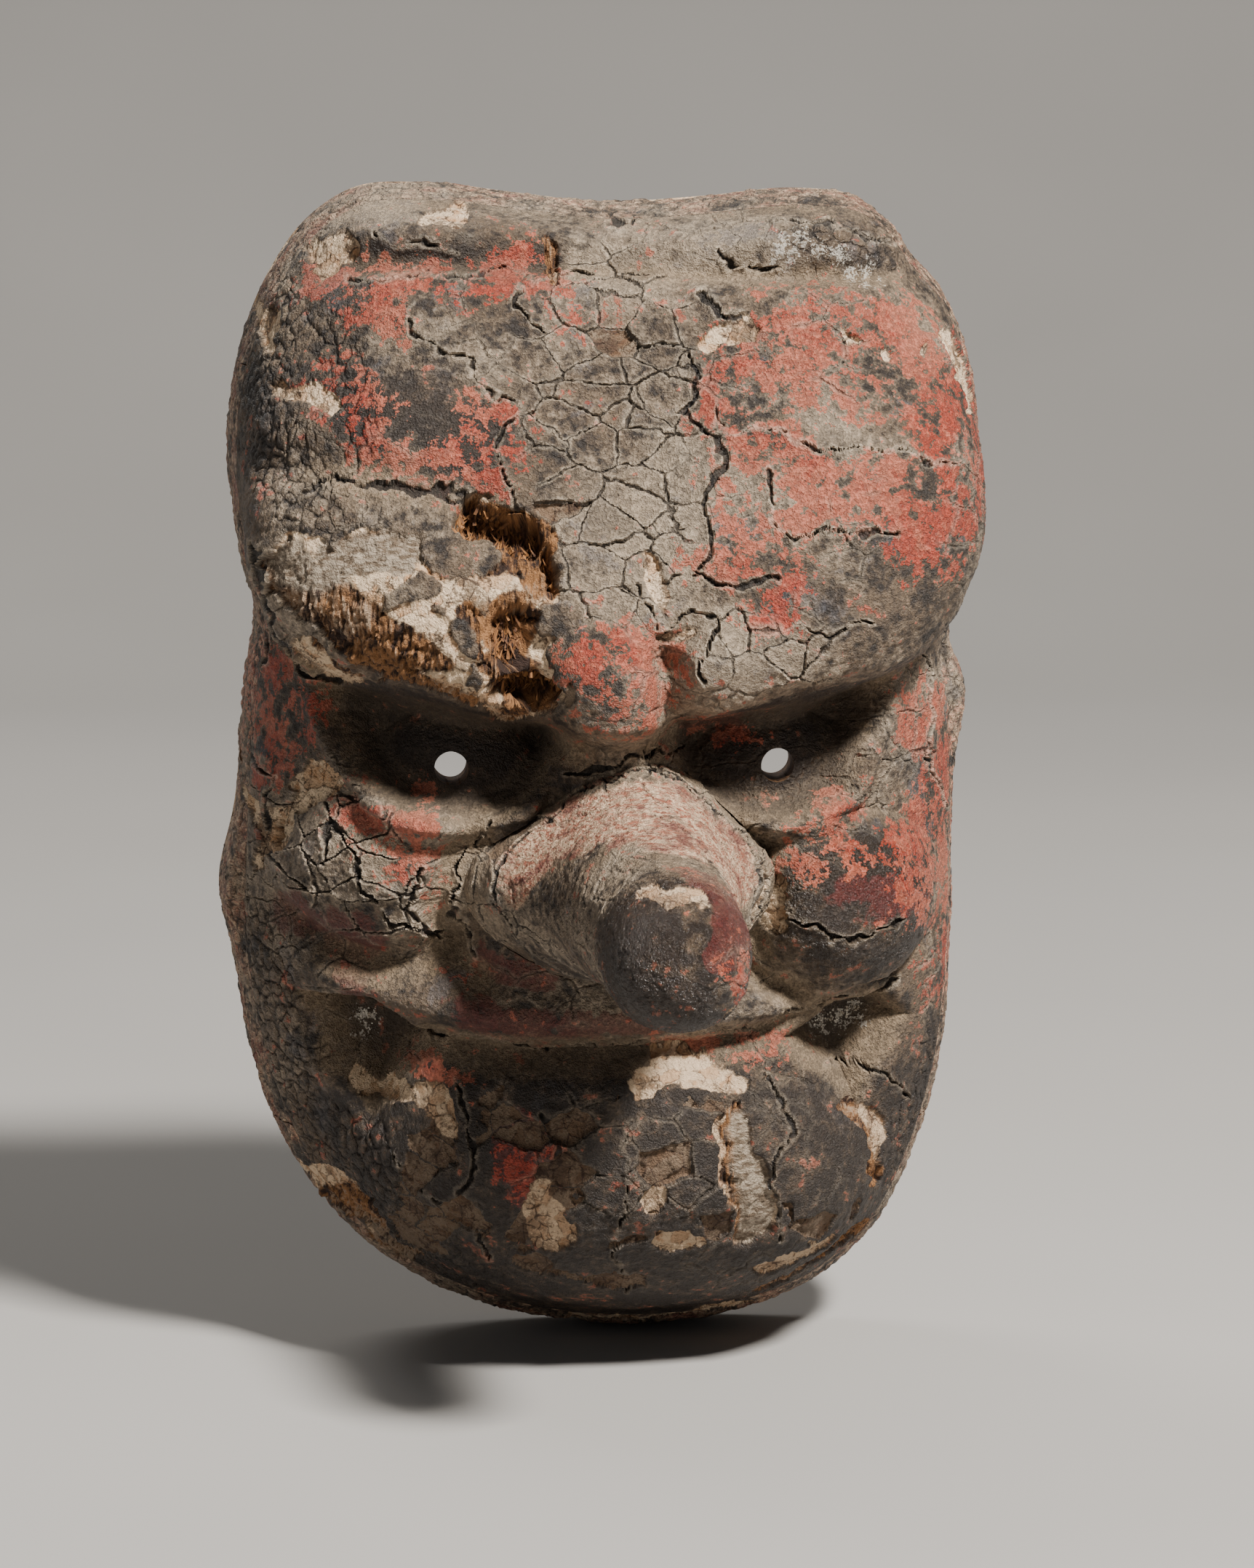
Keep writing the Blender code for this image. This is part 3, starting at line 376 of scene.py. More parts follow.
CRACKS = [
    ([(-38, 93), (-39, 89), (-35, 85), (-29, 84), (-23, 78), (-18, 74), (-22, 67), (-20, 57)], 0.3),
    ([(14, 84), (15, 79), (13, 72), (20, 69), (18, 60), (17, 51), (15, 43), (21, 42), (29, 43)], 0.55),
    ([(29, 63), (30, 58), (29, 54), (32, 51), (35, 49), (40, 51), (46, 50), (54, 51)], 0.4),
    ([(20, 69), (25, 70), (38, 67), (47, 67), (59, 64), (69, 63)], 0.2),
    ([(16, 96), (19, 94), (20, 91), (24, 91), (22, 88)], 0.6), ([(20, 68), (21, 71), (19, 75)], 0.3),
    ([(4, 41), (7, 35), (13, 36), (19, 34), (16, 29), (16, 25)], 0.4), ([(30, 33), (40, 30), (47, 33)], 0.2),
    ([(-9, 3), (0, 7), (8, 8), (15, 5)], 0.5), ([(-60, 58), (-50, 60), (-41, 60), (-30, 58), (-21, 55)], 0.5),
    ([(-70, 49), (-69, 40), (-67, 32), (-61, 22), (-54, 20)], 0.7),
    ([(29, -24), (38, -27), (45, -30), (56, -27)], 0.35),
    ([(-54, -8), (-50, -20), (-44, -26), (-34, -27)], 0.5), ([(-60, -2), (-54, -8), (-58, -16)], 0.4),
    ([(-38, -14), (-40, -22), (-34, -30)], 0.4), ([(-72, 4), (-66, 0), (-68, -14), (-60, -22)], 0.5),
    ([(-30, -60), (-27, -72), (-31, -84), (-25, -96)], 0.4), ([(-14, -64), (-13, -76), (-16, -84)], 0.3),
    ([(30, -57), (34, -66), (30, -78), (33, -92)], 0.35), ([(-44, -74), (-36, -82), (-28, -84)], 0.3),
    ([(0, -66), (1, -78), (-2, -90), (4, -104)], 0.25), ([(42, -58), (52, -60), (60, -68)], 0.4),
    ([(-38, -49), (-14, -52), (2, -52), (26, -49), (48, -43), (57, -41)], 0.3),
    ([(-18, 96), (-20, 92), (-14, 90)], 0.4),
    ([(-52, 99), (-40, 99.5), (-16, 99), (-4, 97.5)], 0.3), ([(34, 108), (46, 107), (56, 103)], 0.4),
    ([(20, 104), (24, 100), (34, 99)], 0.35), ([(-6, 112), (4, 108), (8, 111)], 0.35),
    ([(-46, 106), (-30, 104)], 0.2),
    ([(-66, 30), (-72, 14), (-71, 4)], 0.4), ([(62, 26), (66, 14), (64, 2), (68, -10)], 0.25),
    ([(20, -8), (27, -14), (29, -22)], 0.35), ([(-24, -6), (-30, -14), (-33, -24), (-28, -34)], 0.35),
]
CRUST = [
    ([(-50, -49), (-49, -53)], 2.0), ([(43, -52), (49, -50)], 2.2), ([(33, 101), (37, 103), (52, 99)], 2.2),
]


LATTICE = 256  # squares along each side of the noise before it repeats


def drift(x, z, size, seed):
    """Smooth noise from -1 to 1: random heights on a square lattice, eased between."""
    heights = np.random.default_rng(seed).uniform(-1, 1, (LATTICE, LATTICE))
    a, b = x / size + LATTICE // 2, z / size + LATTICE // 2
    i, j = np.floor(a).astype(int), np.floor(b).astype(int)
    s, t = smooth(0, 1, a - i), smooth(0, 1, b - j)
    i, j, right, up = i % LATTICE, j % LATTICE, (i + 1) % LATTICE, (j + 1) % LATTICE
    near = heights[i, j] * (1 - s) + heights[right, j] * s
    far = heights[i, up] * (1 - s) + heights[right, up] * s
    return near * (1 - t) + far * t


BENDS = ((1.9, 7.0), (0.9, 2.6), (0.35, 1.1))  # how far, and over what length, in millimetres


def wander(x, z):
    """Bends straight paths into the uneven course of a real crack."""
    seeds = iter(range(1, 7))
    dx, dz = (sum(by * drift(x, z, size, next(seeds)) for by, size in BENDS) for _ in range(2))
    return x + dx, z + dz


def inside(x, z, marks):
    """How far inside the nearest mark each point lies, in millimetres; negative outside."""
    return np.max([reach - from_path(x, z, path) for path, reach in marks], axis=0)


def marks_at(x, z):
    x, z = wander(x, z)
    kept = inside(x, z, STILL_THERE)
    lost = np.minimum(inside(x, z, WORN_OFF), -kept)
    return {
        "red": inside(x, z, RED), "maroon": inside(x, z, MAROON), "lost": lost,
        "grey": inside(x, z, GREYED), "bare": inside(x, z, BARE_WOOD), "rot": inside(x, z, ROTTED),
        "plates": inside(x, z, PLATES), "scales": inside(x, z, SCALES), "shed": inside(x, z, SHEDDING),
        "crack": -inside(x, z, CRACKS), "crust": inside(x, z, CRUST),
    }


print(len(CRACKS), "long cracks,", len(RED), "red patches,", len(WORN_OFF), "lost patches")

# %% [markdown]
# ## A pen for node trees
#
# Clicking a hundred Math nodes together is slow and hard to read. A socket wrapped in a
# small class can take part in ordinary Python sums, and each operator then adds its node.
# The same words write Geometry Nodes and shaders, so one description of the cracked coat
# serves both its shape and its colour.

# %% One class for sums on sockets, one method for every other node
class Value:
    """A socket that can be added, scaled and compared like a number."""

    def __init__(self, recipe, socket):
        self.recipe, self.socket = recipe, socket

    def math(self, operation, *others):
        given = dict(enumerate((self, *others)))
        return self.recipe.node("ShaderNodeMath", {"operation": operation}, given)

    def __add__(self, other):
        return self.math("ADD", other)

    def __sub__(self, other):
        return self.math("SUBTRACT", other)

    def __rsub__(self, other):
        return (self * -1).math("ADD", other)

    def __mul__(self, other):
        return self.math("MULTIPLY", other)

    def __truediv__(self, other):
        return self.math("DIVIDE", other)

    __radd__, __rmul__ = __add__, __mul__

    def least(self, other):
        return self.math("MINIMUM", other)

    def most(self, other):
        return self.math("MAXIMUM", other)

    def ramp(self, low, high):
        """0 below low and 1 above high, with a soft bend at both ends."""
        given = {"Value": self, 1: low, 2: high, 3: 0.0, 4: 1.0}
        return self.recipe.node("ShaderNodeMapRange", {"interpolation_type": "SMOOTHSTEP"}, given)

    def out(self, name):
        return Value(self.recipe, self.socket.node.outputs[name])


class Recipe:
    """A node tree being written."""

    def __init__(self, tree):
        self.tree = tree

    def node(self, kind, settings=None, sockets=None, out=0):
        node = self.tree.nodes.new(kind)
        for name, setting in (settings or {}).items():
            setattr(node, name, setting)
        for name, given in (sockets or {}).items():
            if isinstance(given, Value):
                self.tree.links.new(given.socket, node.inputs[name])
            else:
                node.inputs[name].default_value = given
        return Value(self, node.outputs[out]) if len(node.outputs) else node

    def field(self, name):
        """A distance or share stored on the mesh."""
        if self.tree.bl_idname == "GeometryNodeTree":
            kind = "GeometryNodeInputNamedAttribute"
            return self.node(kind, {"data_type": "FLOAT"}, {"Name": name})
        return self.node("ShaderNodeAttribute", {"attribute_name": name}, out="Fac")

    def mix_numbers(self, share, first, second):
        return first * (1 - share) + second * share

    def vector(self, operation, *given):
        return self.node("ShaderNodeVectorMath", {"operation": operation}, dict(enumerate(given)))

    def place(self):
        """Where a point lies on its object, in millimetres."""
        return self.vector("MULTIPLY", self.node("ShaderNodeTexCoord", out="Object"), (1 / MM,) * 3)

    def mix(self, share, first, second):
        """Blends two colours."""
        given = {0: share, 6: first, 7: second}
        return self.node("ShaderNodeMix", {"data_type": "RGBA", "clamp_factor": True}, given, out=2)

    def noise(self, place, size, detail=2.0, rough=0.5):
        """Cloudy noise, whose lumps are about size millimetres across."""
        given = {"Vector": place, "Scale": 1 / size, "Detail": detail, "Roughness": rough}
        return self.node("ShaderNodeTexNoise", {}, given)

    def cells(self, place, size):
        """Plates of about this size: the millimetres to their edges, and a number for each."""
        given = {"Vector": place, "Scale": 1 / size}
        edge = self.node("ShaderNodeTexVoronoi", {"feature": "DISTANCE_TO_EDGE"}, given)
        tint = self.node("ShaderNodeTexVoronoi", {"feature": "F1"}, given, out="Color")
        return edge * size, self.node("ShaderNodeSeparateXYZ", {}, {0: tint})


def srgb(red, green, blue):
    """A colour given from 0 to 255, as the light values that the shader wants."""
    return tuple(
        c / 255 / 12.92 if c < 11 else ((c / 255 + 0.055) / 1.055) ** 2.4 for c in (red, green, blue)
    ) + (1.0,)


print("a mid grey by eye is", round(srgb(128, 128, 128)[0], 3), "in light")

# %% [markdown]
# ## The cracked coat
#
# Old lacquer over ground and cloth dries into plates. Each plate shrinks, so gaps open
# between plates, their edges curl up, and some fall away and leave ground or bare wood.
# Voronoi cells give the plates: the distance from a cell's edge opens the gap and lifts the
# curl, and the cell's own random number raises or sinks it, or drops it.

# %% What is left of the coat at each point
def coat(recipe, place):
    """The masks and lengths, in millimetres, that both the shape and the colour are made from."""
    field, noise = recipe.field, recipe.noise
    ragged = (noise(place, 5.0, 4.0, 0.62) - 0.5) * 9
    jitter = recipe.vector("MULTIPLY_ADD", noise(place, 3.2, 3.0).out("Color"), (2.2, 2.2, 2.2), place)
    rot = (field("rot") + ragged * 0.55).ramp(-0.5, 2.6)
    big_edge, big = recipe.cells(recipe.vector("MULTIPLY", jitter, (0.88, 0.8, 1.25)), 8.6)
    small_edge, small = recipe.cells(recipe.vector("MULTIPLY", jitter, (1.0, 1.0, 0.8)), 3.0)
    in_plates = (field("plates") + ragged * 0.8).ramp(-1.5, 2.5)
    in_scales = (field("scales") + ragged * 1.3).ramp(-3, 2)
    elsewhere = (noise(place, 21.0, 2.0) - 0.5).ramp(0.0, 0.08) * 0.55
    # Plates open less where shade is painted, through the stored "dark" field.
    opened = in_plates.most(elsewhere) * (1 - field("dark") * 0.5)
    gap_width = 0.02 + noise(place, 5.0, 3.0) * 0.42
    gap = (1 - (big_edge / gap_width).ramp(0.35, 1.0)) * opened
    crazing = (1 - small_edge.ramp(0.04, 0.26)) * in_scales
    crack_edge = field("crack") + (noise(place, 4.0, 2.0) - 0.42) * 1.5
    crack = 1 - crack_edge.ramp(-0.1, 0.16)
    shed_here = (field("shed") + ragged).ramp(0.0, 3.0) * 0.3 + 0.012 * opened
    gone = (shed_here - big).ramp(0.0, 0.01) * big_edge.ramp(0.1, 0.2)
    lost_edge = field("lost") + ragged * 0.42
    lost = lost_edge.ramp(-0.12, 0.2).most(gone).most(rot)
    bare = (field("bare") + ragged * 0.8).ramp(-0.4, 0.6).most(rot)
    kept = 1 - lost
    grey = (field("grey") + ragged * 0.6).ramp(-1.0, 1.5)
    return {
        "lost": lost, "bare": bare, "rot": rot, "grey": grey,
        "gap": gap * kept, "crazing": crazing * kept, "crack": crack * kept, "crack_edge": crack_edge,
        "big_edge": big_edge, "big": big, "small_edge": small_edge, "small": small,
        "opened": opened, "in_scales": in_scales, "kept": kept, "ragged": ragged,
        "lost_edge": lost_edge,
    }


def fibres(recipe, place):
    """Long grain: noise stretched up and down the block of wood."""
    grain = recipe.vector("MULTIPLY", place, (1.0, 0.6, 0.12))
    return recipe.noise(grain, 0.75, 4.0, 0.6)


# %% The Geometry Nodes tree that cracks a smooth surface
# The first three are in millimetres, and the last is a share.
WEATHER_DEFAULTS = {"Coat thickness": 0.9, "Curl": 0.42, "Rot depth": 6.5, "Roughness": 0.3}


def weathering_tree(material):
    tree = bpy.data.node_groups.new("weather the coat", "GeometryNodeTree")
    recipe = Recipe(tree)
    sockets = {}
    tree.interface.new_socket("Geometry", in_out="INPUT", socket_type="NodeSocketGeometry")
    for name, size in WEATHER_DEFAULTS.items():
        socket = tree.interface.new_socket(name, in_out="INPUT", socket_type="NodeSocketFloat")
        socket.default_value = size
        sockets[name] = socket.identifier
    tree.interface.new_socket("Geometry", in_out="OUTPUT", socket_type="NodeSocketGeometry")
    entry = recipe.node("NodeGroupInput")
    thickness, curl = entry.out("Coat thickness"), entry.out("Curl")
    here = recipe.node("GeometryNodeInputPosition")
    place = recipe.vector("SCALE", here)
    place.socket.node.inputs["Scale"].default_value = 1 / MM
    c = coat(recipe, place)
    grain = fibres(recipe, place)
    lift = (c["crack_edge"].math("ABSOLUTE") * -0.8).math("EXPONENT")
    plate_lift = (c["big_edge"] * -0.9).math("EXPONENT")
    height = (recipe.noise(place, 12.0, 3.0) - 0.5) * 1.2
    height += (recipe.noise(place, 1.3, 4.0, 0.65) - 0.5) * entry.out("Roughness") * 4
    plates = plate_lift * curl * 1.3 + (c["big"] - 0.5) * 0.8
    height += c["kept"] * (lift * curl * 1.8 + c["opened"] * plates)
    height += c["kept"] * c["in_scales"] * (c["small_edge"].ramp(0.0, 0.9) * 0.3 - 0.2)
    height -= (c["gap"] * 0.9 + c["crazing"] * 0.3 + c["crack"] * 1.25).least(1.3) * thickness
    shards = (c["small"] - 0.5) * 1.5 + (recipe.noise(place, 2.4, 4.0, 0.65) - 0.5) * 3.0
    grooves = c["bare"] * (0.25 + (0.5 - grain) * 2.4 * (1 - c["grey"] * 0.9))
    shards = shards * (0.4 + c["bare"] * 0.5) * (1 - c["grey"] * 0.5)
    height -= c["lost"] * (thickness * 0.8 + grooves + shards)
    height -= c["rot"] * (entry.out("Rot depth") * (0.55 + grain * 0.9))
    crusted = (recipe.field("crust") + c["ragged"]).ramp(-0.5, 1.5)
    height += crusted * (recipe.noise(place, 0.9, 2.0) - 0.35) * 0.4
    normal = recipe.node("GeometryNodeInputNormal")
    offset = recipe.vector("SCALE", normal)
    tree.links.new((height * recipe.field("loose") * MM).socket, offset.socket.node.inputs["Scale"])
    kind = {"data_type": "FLOAT_VECTOR", "domain": "POINT"}
    given = {"Geometry": entry.out("Geometry"), "Name": "rest", "Value": place}
    stored = recipe.node("GeometryNodeStoreNamedAttribute", kind, given)
    moved = recipe.node("GeometryNodeSetPosition", {}, {"Geometry": stored, "Offset": offset})
    whole = recipe.node("GeometryNodeRealizeInstances", {}, {"Geometry": moved})
    painted = recipe.node("GeometryNodeSetMaterial", {}, {"Geometry": whole, "Material": material})
    recipe.node("NodeGroupOutput", {}, {0: painted})
    print("weathering tree:", len(tree.nodes), "nodes")
    return tree, sockets


# %% [markdown]
# ## Colours of lacquer, ground and wood
#
# One shader does the whole coat, because the finishes wear through each other: dusty
# brown-grey lacquer, vermilion over it, cream ground where plates have gone, and wood where
# the ground has gone too. Every mask comes from the same cracks that shape the surface.
# Dust lies where the surface faces up and where it is hollow. Shade is painted into the colour too: in the eye
# sockets, inside the mouth-corner pits, under the crown band, over the lower face and under the nose.

# %% The lacquer's colours
UMBER, SOOT, ASH = srgb(104, 87, 69), srgb(40, 33, 28), srgb(154, 137, 116)
BLUE_GREY, SHADED_COAT, LIFTED_EDGE_AND_HIGHLIGHT = srgb(84, 86, 94), srgb(52, 40, 30), srgb(188, 172, 150)
VERMILION, PINK, DEEP_RED = srgb(158, 56, 36), srgb(178, 96, 72), srgb(92, 36, 32)
CREAM, OCHRE, SHADED_GROUND = srgb(220, 194, 162), srgb(176, 128, 84), srgb(154, 124, 96)
WOOD, DARK_WOOD = srgb(146, 102, 62), srgb(46, 27, 16)
GREY_WOOD, WEATHERED = srgb(146, 132, 114), srgb(166, 151, 132)
CLOTH_DARK, CLOTH_LIGHT, CLOTH_STAIN = srgb(172, 104, 80), srgb(230, 198, 164), srgb(122, 62, 54)
DUST, CRACK_DARK, SALT = srgb(148, 128, 103), srgb(22, 16, 13), srgb(190, 184, 172)


def new_recipe(name):
    material = bpy.data.materials.new(name)
    material.use_nodes = True
    material.node_tree.nodes.clear()
    return material, Recipe(material.node_tree)


def finish(recipe, colour, roughness, height, depth, **constants):
    """Ends a material: colour, roughness, and a bump from a height in millimetres."""
    bump = recipe.node("ShaderNodeBump", {}, {"Height": height, "Distance": depth, "Strength": 1.0})
    given = {"Base Color": colour, "Roughness": roughness, "Normal": bump}
    given.update({name.replace("_", " "): size for name, size in constants.items()})
    shader = recipe.node("ShaderNodeBsdfPrincipled", {}, given)
    recipe.node("ShaderNodeOutputMaterial", {}, {"Surface": shader})


def lacquer_material():
    material, r = new_recipe("cracked lacquer")
    place = r.node("ShaderNodeAttribute", {"attribute_name": "rest"}, out="Vector")
    c = coat(r, place)
    broad, clouds = r.noise(place, 30.0, 2.0), r.noise(place, 8.0, 4.0, 0.62)
    flecks, fine = r.noise(place, 2.2, 3.0, 0.6), r.noise(place, 0.5, 3.0, 0.6)
    # Painted shade, stored on the mesh as "dark", with a few real darker patches of the coat in it; it darkens
    # the lacquer and the ground and keeps dust, red flecks and pale edges out.
    shade_and_dark_patches = r.field("dark")
    tone = r.mix((clouds + (flecks - 0.5) * 0.8 - shade_and_dark_patches * 0.26).ramp(0.28, 0.6), SOOT, UMBER)
    ashy = broad + (flecks - 0.5) * 0.6 + c["opened"] * 0.14 - shade_and_dark_patches * 0.4
    tone = r.mix(ashy.ramp(0.46, 0.72), tone, ASH)
    blue = (r.noise(place, 11.0, 4.0, 0.66) + (flecks - 0.5) * 0.3).ramp(0.58, 0.66)
    tone = r.mix(blue * 0.4 * (1 - shade_and_dark_patches), tone, BLUE_GREY)
    # Painted shade: the lacquer's darker shaded colour.
    tone = r.mix(shade_and_dark_patches * (1.15 - flecks) * 0.9, tone, SHADED_COAT)
    tone = r.mix((c["big"] - 0.5).ramp(0.1, 0.4) * c["opened"] * 0.35, tone, SOOT)
    speckle = (clouds - 0.5) * 26 + (flecks - 0.5) * 15 + (fine - 0.5) * 3
    maroon = (r.field("maroon") + speckle * 0.5).ramp(-0.6, 0.8)
    tone = r.mix(maroon * 0.75, tone, DEEP_RED)
    breaks = (clouds - 0.5) * 28 + (flecks - 0.5) * 24 + (fine - 0.5) * 9
    red = (r.field("red").least(1.2) + breaks).ramp(-0.1, 0.6)
    red = red.most((flecks + (clouds - 0.5) * 0.9).ramp(0.67, 0.72) * 0.85 * (1 - shade_and_dark_patches * 0.5))
    vermilion = r.mix((flecks + (broad - 0.5) * 1.2 + (fine - 0.5) * 0.3).ramp(0.4, 0.66), VERMILION, PINK)
    tone = r.mix(red * 0.88, tone, vermilion)
    # Pale edges along the cracks and plates: partly ground showing where the coat has lifted, partly a painted
    # highlight, weaker in the painted shade.
    edge_ground_and_highlight = (1 - c["crack_edge"].ramp(0.2, 0.9)).most((1 - c["big_edge"].ramp(0.2, 0.9)) * c["opened"])
    tone = r.mix(edge_ground_and_highlight * 0.6 * (0.2 + flecks) * (1 - shade_and_dark_patches * 0.8), tone, LIFTED_EDGE_AND_HIGHLIGHT)
    tone = r.mix((1 - c["small_edge"].ramp(0.1, 0.5)) * c["in_scales"] * 0.2, tone, SOOT)
    weave = r.noise(r.vector("MULTIPLY", place, (0.35, 1.0, 2.4)), 1.1, 4.0, 0.65)
    cloth_tone = r.mix((weave + (flecks - 0.5) * 0.6).ramp(0.36, 0.58), CLOTH_DARK, CLOTH_LIGHT)
    cloth_tone = r.mix((weave * 0.6 + clouds * 0.7).ramp(0.66, 0.8), cloth_tone, CLOTH_STAIN)
    worn = (broad + (flecks - 0.5) * 0.6).ramp(0.54, 0.68)
    cloth_tone = r.mix(worn * 0.4, cloth_tone, ASH)
    cloth = (r.field("cloth") + speckle * 0.3).ramp(-1.0, 1.6)
    tone = r.mix(cloth * 0.9, tone, cloth_tone)
    # Dust in the hollows, on what faces up, and in the pits of the surface.
    facing = r.node("ShaderNodeSeparateXYZ", {}, {0: r.node("ShaderNodeNewGeometry", out="Normal")}, out="Z")
    dust = r.field("hollow") * 1.25 + facing.ramp(0.1, 0.9) * 0.5 + (clouds - 0.5) * 1.3 + (fine - 0.5) * 0.9
    # Less dust where the lacquer is polished, on the cloth and on red, and none in the painted shade, which
    # keeps it dark.
    dust_free = (r.field("gloss") * 0.8).most(cloth * 0.7).most(shade_and_dark_patches * 0.85).most(red * (flecks + 0.1))
    dust = dust.ramp(0.16, 1.0) * (1 - dust_free)
    tone = r.mix(dust * 0.62, tone, DUST)
    grit = (r.noise(place, 0.9, 3.0, 0.7) + (fine - 0.5) * 0.5).ramp(0.36, 0.6)
    tone = r.mix((1 - grit) * 0.42, tone, SOOT)
    dark = (c["gap"] * 0.85 + c["crack"]).most(c["crazing"] * 0.62)
    # In the painted shade the gaps are filled with ochre ground.
    filled = (shade_and_dark_patches * flecks * 1.2).ramp(0.3, 0.7) * c["gap"]
    tone = r.mix(dark * 0.9, tone, r.mix(filled, CRACK_DARK, OCHRE))
    # Where the coat has gone: pale ground first, then wood, black with rot at the deepest.
    grain = fibres(r, place)
    ground = r.mix((flecks + (clouds - 0.5) * 0.6).ramp(0.5, 0.7) * 0.8, CREAM, OCHRE)
    ground = r.mix((c["small"] + (flecks - 0.5) * 0.5).ramp(0.55, 0.75) * 0.5, ground, OCHRE)
    ground = r.mix((clouds + (fine - 0.5) * 0.5).ramp(0.5, 0.6) * 0.8, ground, UMBER)
    # Painted shade: the ground's darker shaded colour.
    ground = r.mix(shade_and_dark_patches * 0.65, ground, SHADED_GROUND)
    between = (1 - c["small_edge"].ramp(0.03, 0.2)) * (clouds + flecks - 0.5).ramp(0.35, 0.6)
    ground = r.mix(between * 0.8, ground, DARK_WOOD)
    wood = r.mix((grain + (clouds - 0.5) * 0.9).ramp(0.36, 0.6), DARK_WOOD, WOOD)
    wood = r.mix((grain + (broad - 0.5) * 1.2).ramp(0.56, 0.76) * 0.7, wood, GREY_WOOD)
    strands = r.noise(r.vector("MULTIPLY", place, (0.35, 1.0, 1.1)), 1.0, 4.0, 0.65)
    greyed = r.mix((strands + (flecks - 0.5) * 0.4).ramp(0.36, 0.62), UMBER, WEATHERED)
    wood = r.mix(c["grey"], wood, greyed)
    wood = r.mix(c["rot"].ramp(0.3, 1.0) * (1 - grain.ramp(0.45, 0.75)) * 0.9, wood, DARK_WOOD)
    under = r.mix(c["bare"], ground, wood)
    # Painted shadow: a dark line along the broken edge of each loss.
    step = 1 - c["lost_edge"].ramp(0.0, 0.36)
    under = r.mix(step * 0.75 * (1 - c["rot"]), under, DARK_WOOD)
    tone = r.mix(c["lost"], tone, under)
    crust = (r.field("crust") + c["ragged"] * 0.6 + (fine - 0.5) * 16 + (flecks - 0.6) * 14).ramp(0.0, 1.0)
    tone = r.mix(crust * 0.75, tone, SALT)
    rough = 0.56 - r.field("gloss") * 0.36 + dust * 0.35 + c["lost"] * 0.3 - red * 0.06 + (fine - 0.5) * 0.25
    height = (r.noise(place, 0.32, 3.0, 0.6) - 0.5) * 0.4 + (fine - 0.5) * 0.5 + (grit - 0.5) * 0.24 - dark * 0.5
    fibre = r.mix_numbers(c["grey"], grain - 0.5, (strands - 0.5) * 0.6)
    specks = (flecks - 0.5) * 0.5 * (1 - r.field("gloss") * 0.7)
    height += cloth * (weave - 0.5) * 1.2 + c["lost"] * c["bare"] * fibre * 1.4 + specks
    finish(r, tone, rough, height, 0.75 * MM)
    print("lacquer shader:", len(material.node_tree.nodes), "nodes")
    return material


LACQUER = lacquer_material()

# %% [markdown]
# ## Bare wood inside
#
# Behind the face the block is dug out with a gouge and left bare, dark with age and sweat.
# The grain is noise stretched along the block; Object coordinates are right here because the
# pieces never bend.

# %% Wood for the inside, the pegs and the wedge
def wood_material(name, dark, light, stain, stretch):
    material, r = new_recipe(name)
    place = r.place()
    bent = r.vector("MULTIPLY_ADD", r.noise(place, 24.0, 2.0).out("Color"), (9.0, 9.0, 9.0), place)
    grain = r.noise(r.vector("MULTIPLY", bent, stretch), 1.5, 4.0, 0.62)
    pores = r.noise(r.vector("MULTIPLY", place, stretch), 0.4, 3.0, 0.6)
    blotch = r.noise(place, 19.0, 4.0, 0.6)
    tone = r.mix((grain + (pores - 0.5) * 0.4).ramp(0.36, 0.66), dark, light)
    tone = r.mix((blotch + (grain - 0.5) * 0.3).ramp(0.48, 0.68) * 0.7, tone, stain)
    height = (grain - 0.5) * 0.7 + (pores - 0.5) * 0.5
    finish(r, tone, 0.62 + blotch * 0.3, height, 0.35 * MM)
    return material


INSIDE_WOOD = wood_material(
    "bare wood", srgb(72, 49, 32), srgb(132, 96, 62), srgb(52, 38, 29), (1.0, 0.5, 0.09)
)
PEG_WOOD = wood_material(
    "peg wood", srgb(112, 76, 42), srgb(176, 130, 80), srgb(90, 60, 36), (1.0, 0.12, 1.0)
)
print("woods:", INSIDE_WOOD.name, "and", PEG_WOOD.name)


# %% Old iron for the staples
def iron_material():
    material, r = new_recipe("old iron")
    place = r.place()
    scale, pits = r.noise(place, 2.4, 4.0, 0.65), r.noise(place, 0.5, 3.0, 0.6)
    rust = (scale + (pits - 0.5) * 0.5).ramp(0.44, 0.58)
    tone = r.mix(rust, srgb(62, 58, 56), srgb(104, 60, 36))
    finish(r, tone, 0.5 + rust * 0.4, (pits - 0.5) + rust * 0.4, 0.15 * MM, Metallic=0.55)
    return material


IRON = iron_material()
print("iron:", len(IRON.node_tree.nodes), "nodes")

# %% [markdown]
# ## From points to a closed block
#
# The front of the block is a square grid bent over the dome, about a third of a millimetre
# between points, so that the smallest cracks are real dents in the mesh. A fan of triangles
# closes its back along the seam. A mesh this fine is built from arrays, because adding its
# faces one at a time would take minutes.

